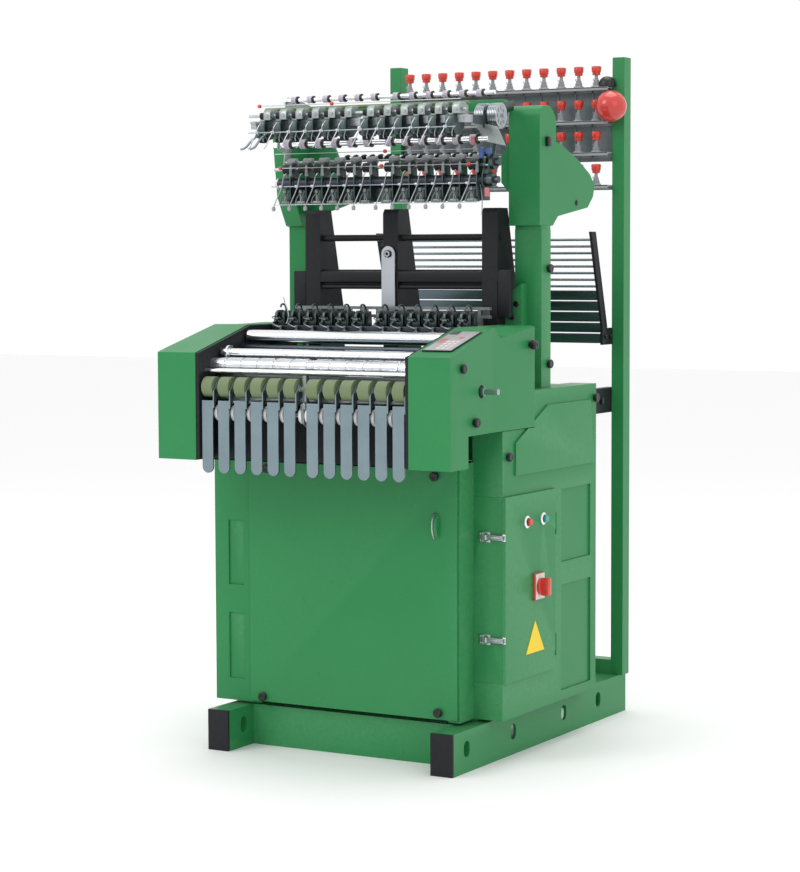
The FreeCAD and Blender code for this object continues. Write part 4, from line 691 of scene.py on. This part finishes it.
def stop_wires():
    """Slanted sensing wires of both rows."""
    y, z = UPPER_WIRE_BAR
    hub = turned((-.006, y, z), X_AXIS, barrel(.011, .0045, .0005, .0005), 16)
    arm = wire([(.009, y + .004, z + .026), (.006, y - .006, z + .016), (0, y - .003, z),
        (-.01, y - .008, z - .02), (-.017, y - .012, z - .04), (-.0195, y - .016, z - .044)], .0016)
    bar = across(WIRE_REACH, UPPER_WIRE_BAR, .0016, 10)
    upper = finished([bar, per_lane(hub, arm)], "upper_wires", STEEL, "upper_stop_wires")
    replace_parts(upper, "upper_stop_wires")
    y, z = LOWER_WIRE_BAR
    hub = turned((-.002, y, z), X_AXIS, barrel(.011, .0045, .0005, .0005), 16)
    arm = wire([(.0125, y + .012, z + .036), (.0125, y - .001, z + .03), (.011, y - .005, z + .01),
        (.006, y - .006, z - .008), (-.004, y - .012, z - .034), (-.013, y - .014, z - .055)], .0014)
    bar = across(WIRE_REACH, LOWER_WIRE_BAR, .0016, 10)
    lower = finished([bar, per_lane(hub, arm)], "lower_wires", STEEL, "lower_stop_wires")
    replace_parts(lower, "lower_stop_wires")
    bead = turned((-.013, y - .014, z - .067), Z_AXIS, [(0, .002), (.0015, .0045), (.006, .0055),
        (.011, .0048), (.013, .002)], 16)
    finished(per_lane(bead), "wire_weights", GREY, "lower_stop_wires")


def feeder_threads():
    """Tie wires with red beads, olive rail, spring shaft with its rings, end hooks and terminals."""
    lines = [across(BAR_REACH, place, radius, 8, .0003) for place, radius in (((-.3, 1.739), .0012),
        ((-.21, 1.6135), .0011), ((-.2125, 1.5745), .0011), ((-.2145, 1.4745), .001))]
    finished(lines, "tie_wires", STEEL)
    beads = [turned((x, y, z), X_AXIS, barrel(.01, .005, .002, .002), 14)
        for x, y, z in ((-.31, -.3, 1.739), (-.081, -.3, 1.739), (-.3, -.2125, 1.5745), (.02, -.2125, 1.5745),
        (.285, -.2125, 1.5745), (.03, -.21, 1.6135))]
    finished(beads, "wire_beads", RED_PLASTIC)
    olive = across(BAR_REACH, (-.255, 1.7315), .005, 16)
    finished(olive, "olive_rail", OLIVE_RUBBER)
    links = [turned((SPRING_START + k * SPRING_STEP, *SPRING_SHAFT), X_AXIS,
        [(0, .004), (.002, .0095), (.01, .011), (.013, .0095), (.015, .005), (.02, .0045),
        (SPRING_STEP, .0045)], 16) for k in range(17)]
    finished(links, "spring_shaft", BLACK)
    rings = [turned((SPRING_START + k * SPRING_STEP + .016, *SPRING_SHAFT), X_AXIS,
        barrel(.007, .0066, .001, .0014), 14) for k in range(16)]
    finished(rings, "spring_shaft_rings", CHROME)
    hooks = []
    for x, tip in ((-.29, -.019), (-.268, -.004)):
        hooks.append(wire([(x, -.32, 1.664), (x - .004, -.338, 1.655), (x - .012 + tip / 3, -.346, 1.64),
            (x - .02 + tip / 2, -.35, 1.624), (x - .034 + tip / 2, -.35, 1.622)], .0032, sides=3))
    hooks.append(wire([(.318, -.2, 1.52), (.33, -.215, 1.5), (.333, -.217, 1.47), (.33, -.215, 1.44)], .0013))
    finished(hooks, "end_hooks", WORN_STEEL)
    bits = [block((.336, -.212, 1.488), (.345, -.198, 1.512), .002),
        block((.292, -.2045, 1.624), (.298, -.1925, 1.646), .002)]
    finished(bits, "red_terminals", PINK_FILM)
    bits = [block((.312, -.2, 1.59), (.324, -.186, 1.618), .003),
        block((.33, -.196, 1.6), (.346, -.184, 1.616), .003)]
    finished(bits, "blue_terminals", BLUE_PLASTIC)


def drive_discs():
    """Ribbed bright steel discs, slotted round their faces, on the stub axle."""
    y, z = DISC_AXLE
    discs = []
    for x in (.288, .326):
        rim = [(0, .026), (.001, .034)]
        for k in range(5):
            rim += [(.003 + .005 * k, .034), (.0038 + .005 * k, .032), (.0052 + .005 * k, .032),
                (.006 + .005 * k, .034)]
        rim += [(.027, .034), (.028, .029), (.027, .028), (.0266, .012), (.0276, .011), (.0276, .004)]
        discs.append(turned((x, y, z), X_AXIS, rim, 40))
        for k in range(8):
            turn = math.radians(45 * k)
            spot = (x + .0262, y + .02 * math.cos(turn), z + .02 * math.sin(turn))
            discs.append(turned(spot, X_AXIS, [(0, .004), (.001, .0045), (.0022, .0045)], 12))
    axle = along_x(.25, .362, (y, z), .005, 16)
    set_of_discs = finished([axle, *discs], "drive_discs", STEEL, "ribbed_pulleys")
    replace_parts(set_of_discs, "ribbed_pulleys")


# ---- weaving heads -------------------------------------------------------------------
HEAD_Y = -.207
HEAD_Z = 1.147
HEAD_HALF = .306


def weaving_row():
    """Needle and reed block of each lane on its bar, with hooks, clamps and needle levers."""
    y, z = HEAD_Y, HEAD_Z
    bar = block((-HEAD_HALF, -.245, 1.123), (HEAD_HALF, -.165, 1.1467), .002)
    legs = [block((s * HEAD_HALF - (.016 if s > 0 else 0), -.245, .9737),
        (s * HEAD_HALF + (0 if s > 0 else .016), -.165, 1.127), .001) for s in (-1, 1)]
    bearings = []
    for s in (-1, 1):
        low, high = sorted((s * .3, s * .2863))
        bearings.append(block((low, -.138, .9737), (high, -.102, 1.04), .001))
        bearings.append(along_x(*sorted((s * .299, s * .271)), (-.12, 1.02), .005))
    base = finished([bar, *legs, *bearings], "head_bar", DARK_STEEL)
    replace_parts(base, "weaving_heads")
    left_cheek = plate([(y - .021, z), (y - .024, z + .012), (y - .016, z + .034), (y - .006, z + .04),
        (y + .016, z + .04), (y + .022, z + .03), (y + .022, z)], "X", -.02, .008, .0008)
    right_cheek = plate([(y - .021, z), (y - .021, z + .03), (y - .01, z + .04), (y + .018, z + .038),
        (y + .022, z)], "X", .006, .007, .0008)
    bed = block((-.0125, y - .02, z), (.0065, y + .02, z + .014), .001)
    clamp = turned((-.003, y - .019, z + .016), -Y_AXIS, [(0, .005), (.004, .005), (.005, .0035),
        (.012, .0035), (.013, .005), (.016, .005), (.017, .003)], 14)
    hook = wire([(.009, y - .004, z + .036), (.009, y - .006, z + .048), (.008, y - .012, z + .056),
        (.005, y - .02, z + .057), (.003, y - .024, z + .052), (.004, y - .023, z + .048)], .0026, sides=3)
    finished(per_lane(left_cheek, right_cheek, bed, clamp, hook), "weaving_blocks", OILED_STEEL)
    block_dark = block((-.0115, y - .006, z + .014), (.0055, y + .018, z + .034), .001)
    knob = turned((.0165, y - .012, z + .006), Z_AXIS, [(0, .003), (.018, .003), (.019, .005), (.027, .0052),
        (.03, .0035)], 16)
    finished(per_lane(block_dark, knob), "reed_blocks", BLACK)
    lever = wire([(-.014, y - .02, z + .01), (-.018, y - .034, z + .006), (-.008, y - .046, z + .001),
        (.01, y - .052, z - .004), (.017, y - .05, z - .006)], .0028, sides=3)
    needle = wire([(-.016, y - .018, z + .024), (-.02, y - .034, z + .022), (-.01, y - .044, z + .018),
        (.004, y - .04, z + .016)], .0013)
    stud = turned((.0165, y - .046, z - .016), Z_AXIS, [(0, .0035), (.01, .0035), (.011, .005), (.015, .005),
        (.016, .003)], 14)
    foot = block((.01, y - .052, z - .02), (.024, y - .037, z - .013), .001)
    finished(per_lane(lever, needle, stud, foot), "needle_levers", CAST_STEEL)
    feeler = wire([(-.2865, -.215, 1.222), (-.28, -.222, 1.208), (-.266, -.232, 1.196), (-.256, -.238, 1.178),
        (-.256, -.24, 1.16), (-.262, -.242, 1.15)], .0016)
    finished(feeler, "selvedge_feeler", STEEL)
    ledge = block((-HEAD_HALF, y - .062, z - .027), (HEAD_HALF, y - .0385, z - .0205), .001)
    finished(ledge, "lever_ledge", DARK_STEEL)


# ---- roller bay ------------------------------------------------------------------------
BAY_HALF = .313
DISC_ROD = (-.555, .925)
TAPE_ROD = (-.557, 1.036)


def roller_bay_parts():
    """End plates, upright, tray and back, with strips, rods, white discs and centre bracket."""
    inner = [(-.591, .802), (-.591, 1.0816), (-.342, 1.148), (-.107, 1.148), (-.107, .9745), (-.2713, .9745),
        (-.2713, .883), (-.494, .883), (-.494, .802)]
    walls = []
    for x in (-.3217, .312):
        walls.append(plate(inner, "X", x, .0097, .0008))
    upright = block((-BAY_HALF, -.53, .797), (BAY_HALF, -.526, .935), .0008)
    tray = block((-BAY_HALF, -.53, .797), (BAY_HALF, -.2713, .801), .0008)
    back = block((-BAY_HALF, -.2753, .797), (BAY_HALF, -.2713, .958), .0008)
    bay = finished([*walls, upright, tray, back], "bay_plates", BLACK)
    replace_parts(bay, "roller_bay")
    low = plate([(-.462, 1.062), (-.462, 1.068), (-.41, 1.086), (-.41, 1.08)], "X", -BAY_HALF, 2 * BAY_HALF,
        .0008)
    high = plate([(-.402, 1.088), (-.402, 1.094), (-.378, 1.098), (-.378, 1.092)], "X", -BAY_HALF,
        2 * BAY_HALF, .0008)
    finished([low, high], "tape_strips", SLAT_STEEL)
    guide = across(BAR_REACH, TAPE_ROD, .006, 24)
    finished(guide, "tape_guide_rod", CHROME)
    disc_rod = across(BAR_REACH, DISC_ROD, .005, 20)
    finished(disc_rod, "disc_rod", STEEL)
    places = [LANE_X[i] + PITCH / 2 - .006 for i in range(LANES - 1) if i != 5]
    places += [LANE_X[5] + PITCH / 2 - .001, LANE_X[6] - PITCH / 2 + .001, LANE_X[11] + PITCH / 2 - .009]
    disc = turned((-.005, *DISC_ROD), X_AXIS, [(0, .0195), (.001, .0215), (.002, .022), (.008, .022),
        (.009, .0215), (.01, .0195)], 40)
    finished(repeated(disc, [(x, 0, 0) for x in places]), "guide_discs", WHITE_PLASTIC)
    post = plate([(-.529, .86), (-.529, .935), (-.532, .947), (-.546, .962), (-.56, .965), (-.572, .958),
        (-.577, .94), (-.574, .905), (-.55, .89), (-.54, .86)], "X", -.0034, .0068, .0008)
    bolt = turned((.0034, -.5548, .925), X_AXIS, [(0, .009), (.002, .009), (.002, .0065), (.008, .0065),
        (.009, .005)], 6)
    clamp = block((-.008, -.575, .94), (.008, -.556, .956), .0012)
    top = block((-.006, -.567, .955), (.006, -.552, 1.028), .001)
    finished([post, bolt, clamp, top], "centre_bracket", CAST_STEEL)


def roller_fittings():
    """Black bearings at both ends of the chrome rollers."""
    bearings = []
    for y, z in ((-.52, 1.048), (-.485, 1.079), (-.357, 1.119)):
        for s in (-1, 1):
            bearings.append(turned((s * .3118, y, z), -X_AXIS * s, [(0, .0135), (.003, .0135), (.0038, .012)],
                24))
    finished(bearings, "roller_bearings", BLACK_PLASTIC)


def levers():
    """Press lever and bright washer of each lane."""
    for i, x in enumerate(LANE_X):
        node = "presser_lever_%02d" % (i + 1)
        recast(node, WORN_STEEL, .0009, 3)
        washer = turned((x + .0215, -.563, .993), X_AXIS, [(0, .0085), (.001, .0095), (.003, .0095),
            (.0038, .008)], 20)
        finished(washer, "lever_washer_%02d" % (i + 1), CHROME, node)


# ---- creel ---------------------------------------------------------------------------
CREEL_ROWS = (1.872, 1.776, 1.686, 1.592)
CREEL_HALF = .3498
CREEL_PITCH = .056
CREEL_Y = .53
RAIL_DROP = .056


def creel_row_steps():
    """Offsets of every tensioner from the origin."""
    return [((k - 5.5) * CREEL_PITCH, CREEL_Y, z - RAIL_DROP) for z in CREEL_ROWS for k in range(LANES)]


def creel_parts():
    """Angle rails, seamed panel, ridged cone stems, red caps and thread eyes."""
    rails = []
    for z in CREEL_ROWS:
        top = z - RAIL_DROP
        rails.append(block((-CREEL_HALF, CREEL_Y - .014, top - .004), (CREEL_HALF, .568, top), .0008))
        rails.append(block((-CREEL_HALF, .564, top - .014), (CREEL_HALF, .568, top - .0005), .0008))
        rails.append(block((-CREEL_HALF, CREEL_Y - .014, top - .01),
            (CREEL_HALF, CREEL_Y - .011, top - .0005), .0006))
    finished(rails, "creel_rails", GREY)
    panel = block((-CREEL_HALF, .5683, 1.604), (CREEL_HALF, .571, 1.816), .0006)
    seams = [block(((k - 6) * CREEL_PITCH - .004, .564, 1.606), ((k - 6) * CREEL_PITCH + .004, .569, 1.814),
        .0015) for k in range(1, LANES)]
    panels = finished([panel, *seams], "creel_panel", PANEL_GREY)
    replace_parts(panels, "creel")
    stem = turned((0, 0, 0), Z_AXIS, [(0, .015), (.003, .015), (.004, .0135), (.0042, .011), (.01, .0098),
        (.0102, .0108), (.012, .0106), (.0122, .009), (.018, .0074), (.0182, .0084), (.0198, .0082),
        (.02, .0066), (.026, .005), (.034, .005)], 14)
    finished(repeated(stem, creel_row_steps()), "tension_stems", GREY)
    cap = turned((0, 0, .034), Z_AXIS, [(0, .01), (.0015, .0115), (.008, .0118), (.009, .0135), (.023, .0145),
        (.0255, .013), (.026, .008)], 12, .0004)
    caps = finished(repeated(cap, creel_row_steps()), "tension_caps", RED_PLASTIC)
    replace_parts(caps, "tensioner_caps")
    eye = wire([(.0, -.012, .004), (.0, -.0155, .016), (.004, -.017, .02), (.0, -.018, .024),
        (-.004, -.017, .02), (.0, -.0155, .0165)], .0009, sides=1)
    finished(repeated(eye, creel_row_steps()), "tension_eyes", STEEL)


def creel_extras():
    """White spring and black cap on the rails beside the lamp."""
    spring = []
    for k in range(7):
        spring += [(.001 + .0095 * k, .0085 + .0006 * k), (.0055 + .0095 * k, .0115 + .0006 * k),
            (.009 + .0095 * k, .0085 + .0006 * k)]
    coil = turned((.336, .5265, 1.7215), Z_AXIS, spring, 20)
    finished(coil, "white_spring", WHITE_PLASTIC)
    dome = turned((.338, .54, 1.8165), Z_AXIS, [(0, .025), (.01, .025), (.02, .0215), (.027, .014),
        (.03, .005)], 24, smooth=50)
    finished(dome, "black_dome", BLACK_PLASTIC)


def lamp_parts():
    """Red ball lamp with a seam ring and a black neck."""
    x, y, z, r = .369, .499, 1.758, .0449
    globe = turned((x, y + r - .0005, z), -Y_AXIS, [(r - r * math.cos(math.radians(a)),
        max(.002, r * math.sin(math.radians(a)))) for a in range(6, 180, 8)], 40, smooth=50)
    lamp = finished(globe, "lamp_globe", LAMP_RED)
    neck = turned((x, .5479, z), -Y_AXIS, [(0, .014), (.004, .014), (.005, .017), (.01, .018), (.012, .0165)],
        28)
    ring = turned((x, y + .002, z), -Y_AXIS, barrel(.003, r + .0004, .0005, .001), 40)
    finished(neck, "lamp_neck", BLACK_PLASTIC)
    finished(ring, "lamp_seam", LAMP_RED)
    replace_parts(lamp, "stop_lamp")


# ---- warp guide ------------------------------------------------------------------------
GUIDE_REACH = .3458
GUIDE_TOP = 1.401
GUIDE_DROP = .27
GUIDE_LEAN = .078


def guide_y(z):
    """Middle of the slanted guide plates at a height."""
    share = min(1.0, max(0.0, (GUIDE_TOP - z) / GUIDE_DROP))
    return .401 + GUIDE_LEAN * share + .016


def warp_guide_parts():
    """Slanted black plates on arms, bright rods, dark slats with bright edges and tie bars."""
    outline = [(.401, 1.401), (.433, 1.401), (.511, 1.131), (.511, 1.125), (.548, 1.125), (.548, 1.077),
        (.479, 1.077), (.479, 1.131)]
    sides = [plate(outline, "X", x, .008, .001) for x in (-.354, .346)]
    ties = [block((low, .288, .88), (low + .0235, .575, .952), .0015) for low in (-.3495, .326)]
    frame_part = finished([*sides, *ties], "guide_sides", BLACK)
    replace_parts(frame_part, "warp_guide")
    rods = [across(GUIDE_REACH, (guide_y(z), z), .0036, 14) for z in [1.378 - .019 * k for k in range(8)]]
    finished(rods, "warp_rods", WORN_STEEL)
    slats = []
    for k in range(5):
        z = 1.218 - .031 * k
        y = guide_y(z)
        slats.append(plate([(y - .008, z + .013), (y - .005, z + .013), (y + .006, z - .013),
            (y + .003, z - .013)], "X", -.3458, .6916, .0005))
        slats.append(across(GUIDE_REACH, (y - .0065, z + .0135), .0018, 10))
    finished(slats, "warp_slats", SLAT_STEEL)
    bolts = [turned((s * .354, y, z), X_AXIS * s, [(0, .007), (.005, .007), (.006, .0055)], 6)
        for s in (-1, 1) for y, z in ((.496, 1.1), (.53, 1.1))]
    bolts += [turned((s * .3495, y, .916), X_AXIS * s, [(0, .01), (.007, .01), (.008, .008)], 6)
        for s in (-1, 1) for y in (.33, .48)]
    finished(bolts, "guide_bolts", BLACK_PLASTIC)


# ---- controls --------------------------------------------------------------------------
COVER_SLOPE = math.atan2(1.15 - 1.083, -.342 + .593)


def on_slope(obj):
    """Lay a piece modelled flat at the origin on the slope of the right cover."""
    obj.rotation_mode = "XYZ"
    obj.rotation_euler = (COVER_SLOPE, 0, 0)
    obj.location = (0, -.593, 1.083)
    return settle(obj)


def control_panel():
    """Plate on the cover's slope with a plain display field and plain keys."""
    film = block((.338, .048, .0003), (.42, .212, .004), .0015)
    finished(on_slope(film), "panel_plate", PANEL_FILM)
    border = block((.337, .046, .0003), (.4205, .0482, .0044), .0005)
    edge = block((.4195, .046, .0003), (.4215, .214, .0044), .0005)
    window = block((.342, .184, .004), (.366, .208, .0052), .0004)
    finished(on_slope(welded(border, edge, window)), "panel_window", BLACK_PLASTIC)
    red = [block((.343, .112, .004), (.362, .146, .0046), .0003),
        block((.386, .15, .004), (.4, .162, .0046), .0003)]
    finished(on_slope(welded(*red)), "panel_red_keys", PINK_FILM)
    keys = [block((.368 + .0135 * a, .06 + .0185 * b, .004), (.3785 + .0135 * a, .073 + .0185 * b, .0046),
        .0003) for a in range(3) for b in range(4)]
    finished(on_slope(welded(*keys)), "panel_grey_keys", SWITCH_WHITE)


PANEL_FACE = -.3653
CASING_FACE = .424
COVER_FACE = .442


def knob(start, axis, radius=.012, height=.0125):
    """Black knob screw with a fluted rim and a dished face."""
    return turned(start, axis, [(0, radius * .62), (height * .22, radius * .62), (height * .24, radius * .93),
        (height * .32, radius), (height * .84, radius), (height * .97, radius * .86), (height, radius * .55),
        (height * .93, radius * .3)], 24, .0003)


def knobs():
    """Every black knob screw."""
    made = []
    for x, z in ((-.264, .139), (.281, .144), (.272, .763), (-.246, .763)):
        made.append(knob((x, PANEL_FACE, z), -Y_AXIS))
    for s in (-1, 1):
        for y, z in ((-.53, 1.053), (-.459, .914), (-.135, 1.1)):
            draw = min(1.0, max(0.0, (y - .009 + .553) / .213)) * .012
            made.append(knob((s * (COVER_FACE - draw), y, z), X_AXIS * s, .0125, .0095 + draw))
        for y, z in ((-.25, .811), (.276, .938)):
            made.append(knob((s * CASING_FACE, y, z), X_AXIS * s))
    for z in (1.042, 1.299):
        made.append(knob((.4, .034, z), X_AXIS))
    screws = finished(made, "black_knobs", BLACK_PLASTIC)
    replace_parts(screws, "knob_screws")


DOOR_FACE = .433
SWITCH_AT = (-.096, .455)
STOP_Y = -.16
START_Y = -.064
BUTTON_Z = .633


def cabinet_fittings():
    """Bezels, push buttons, main switch, sign plate, latches and keepers."""
    bezels = []
    for y in (STOP_Y, START_Y):
        bezels.append(turned((DOOR_FACE, y, BUTTON_Z), X_AXIS,
            [(0, .0165), (.001, .0172), (.0042, .0168), (.0066, .0135), (.007, .0125), (.0066, .0115),
            (.0004, .0112)], 32))
    finished(bezels, "button_bezels", CHROME, "cabinet_door")
    for node, material, y in (("stop_button", RED_PLASTIC, STOP_Y), ("start_button", TEAL_PLASTIC, START_Y)):
        push = turned((DOOR_FACE + .0072, y, BUTTON_Z), X_AXIS,
            [(0, .0057), (.002, .0057), (.0021, .0098), (.0067, .0098), (.0081, .0086), (.0083, .007),
            (.0079, .004)], 32)
        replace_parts(finished(push, node + "_head", material, node), node)
    y, z = SWITCH_AT
    base = block((DOOR_FACE + .0002, y - .0285, z - .0365), (DOOR_FACE + .0092, y + .0285, z + .0365), .0022)
    finished(base, "switch_base", RED_PLASTIC, "cabinet_door")
    film = block((DOOR_FACE + .009, y - .0255, z - .0335), (DOOR_FACE + .0096, y + .0255, z + .0335), .0002)
    finished(film, "switch_film", SWITCH_WHITE, "cabinet_door")
    disc = turned((DOOR_FACE + .0098, y, z), X_AXIS, [(0, .0225), (.001, .023), (.007, .0225), (.0082, .021),
        (.0086, .02)], 40)
    grip = block((DOOR_FACE + .0165, y - .011, z - .024), (DOOR_FACE + .038, y + .011, z + .024), .003)
    switch = finished([disc, grip], "switch_knob", RED_PLASTIC, "main_switch")
    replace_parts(switch, "main_switch")
    sign = plate([(-.163, .279), (-.056, .279), (-.1095, .364)], "X", DOOR_FACE + .0001, .0016, .0)
    finished(eased(sign, .0004, angle=60), "sign_plate", YELLOW_PLATE, "cabinet_door")
    for node, side, z in (("upper_latch", "high", .602), ("lower_latch", "low", .332)):
        lever = plate([(.375, z - .0045), (.375, z + .0045), (.381, z + .0075), (.412, z + .0065),
            (.433, z + .0065), (.433, z - .0065), (.412, z - .0065), (.381, z - .0075)], "Y", -.288, .003,
            .0008)
        bow = wire([(.388, -.2885, z + .0045), (.41, -.2915, z + .0045), (.428, -.2895, z + .003),
            (.428, -.2895, z - .003), (.41, -.2915, z - .0045), (.388, -.2885, z - .0045)], .0016, sides=3)
        hook = block((.4295, -.288, z - .006), (.433, -.281, z + .006), .0006)
        eye = turned((.378, -.2865, z - .007), Z_AXIS, barrel(.014, .0045, .0005, .0005), 18)
        latch = finished([lever, bow, hook, eye], node + "_lever", STEEL, node)
        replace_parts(latch, node)
        rivets = [turned((x, -.281, z + dz), -Y_AXIS, [(0, .0028), (.001, .0026), (.0016, .0014)], 12)
            for x in (.36, .3665) for dz in (-.009, .009)]
        seat = block((.3545, -.2818, z - .0135), (.3895, -.2792, z + .0135), .0006)
        finished([seat, *rivets], "latch_seat_" + side, STEEL)
        keeper = block((.424, -.28, z - .009), (.4332, -.2792, z + .009), .0003)
        finished(keeper, "latch_keeper_" + side, CHROME, "cabinet_door")


def rear_sheet():
    """Screws, air slots drawn as black strips of painted shade, and a lift-off cover on the sheet at the back
    of the body.
    """
    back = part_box("inner_frame")[1].y
    cover = block((-.2, back - .0005, .3), (.2, back + .0025, .76), .0012)
    finished(cover, "rear_cover", GREEN)
    # Black raised strips stand in for the air slots: painted shade of the openings.
    slot_shade_strips = [block((-.11, back + .002, z), (.11, back + .0032, z + .007), .001)
        for z in [.64 + .016 * k for k in range(6)]]
    finished(slot_shade_strips, "rear_slot_shade_strips", BLACK)
    screws = [turned((x, back + .002, z), Y_AXIS, [(0, .0065), (.003, .0062), (.0042, .0045)], 16)
        for x in (-.18, 0, .18) for z in (.32, .74)]
    finished(screws, "rear_screws", BLACK_PLASTIC)


def harness_rail():
    """Thick and thin rails across the front of the heddle posts, with a block at each end."""
    rail = block((-.3395, -.0765, 1.262), (.3395, -.0565, 1.292), .003)
    lower = across(.335, (-.066, 1.249), .006, 20)
    cheek = block((-.3405, -.0775, 1.17), (-.301, -.056, 1.2935), .002)
    box_end = block((.305, -.0775, 1.17), (.3405, -.056, 1.2965), .003)
    finished([rail, lower, cheek, box_end], "harness_rail", BLACK)


PULL_RADIUS = .0524
CRANK_AT = (-.414, .99)


def arm_fittings():
    """Clip, screws and collar of the right arm, lever bolt, a bright strip as painted highlight on the panel
    pull edge, crank rim and sleeve.
    """
    clip = block((.4022, .012, 1.626), (.412, .034, 1.652), .002)
    screws = [turned((x, -.0362, z), -Y_AXIS, [(0, .008), (.003, .008), (.0045, .0065), (.0046, .004),
        (.003, .0036)], 20) for x, z in ((.34, 1.205), (.328, 1.17))]
    cap = turned((.402, .205, 1.478), X_AXIS, [(0, .0075), (.002, .0075), (.003, .006)], 20)
    finished([clip, *screws, cap], "arm_screws", BLACK_PLASTIC)
    pin_head = turned((-.03, -.0853, 1.34), -Y_AXIS, [(0, .01), (.005, .01), (.006, .0085), (.006, .005),
        (.0035, .0048)], 6)
    finished(pin_head, "lever_bolt", STEEL)
    collar = block((.3205, -.0055, 1.4032), (.3995, .0495, 1.4145), .0008)
    finished(collar, "arm_collar", GREEN)
    # Bright steel wire along the green pull's edge: a painted highlight.
    bow = [(.27, -.3273 - PULL_RADIUS * math.cos(math.radians(a)),
        .634 + PULL_RADIUS * math.sin(math.radians(a))) for a in range(-40, 41, 8)]
    finished(wire(bow, .0022), "panel_pull_highlight_strip", STEEL)
    rim = turned((.4305, *CRANK_AT), X_AXIS, [(0, .0205), (.001, .021), (.0022, .0205), (.0022, .0175),
        (.001, .0172)], 36)
    finished(rim, "crank_hole_rim", BLACK)
    sleeve = turned((.43, *CRANK_AT), X_AXIS, [(0, .0115), (.014, .0115), (.015, .0105), (.0155, .0095)], 24)
    finished(sleeve, "crank_sleeve", WORN_STEEL, "crank_shaft")


feeder_carriers()
upper_feeders()
lower_feeders()
nip_roller("upper_nip_tyres", "upper_nip_rollers", UPPER_ROLLER, .009, .014, .006)
nip_roller("lower_nip_tyres", "lower_nip_rollers", LOWER_ROLLER, .013, .026, .008)
collared("top_shaft", "top_shaft", TOP_SHAFT, .006, .01, .016)
collared("middle_shaft", "middle_shaft", MIDDLE_SHAFT, .008, .013, .018)
stop_wires()
feeder_threads()
drive_discs()
weaving_row()
roller_bay_parts()
roller_fittings()
levers()
creel_parts()
creel_extras()
lamp_parts()
warp_guide_parts()
control_panel()
knobs()
cabinet_fittings()
rear_sheet()
harness_rail()
arm_fittings()
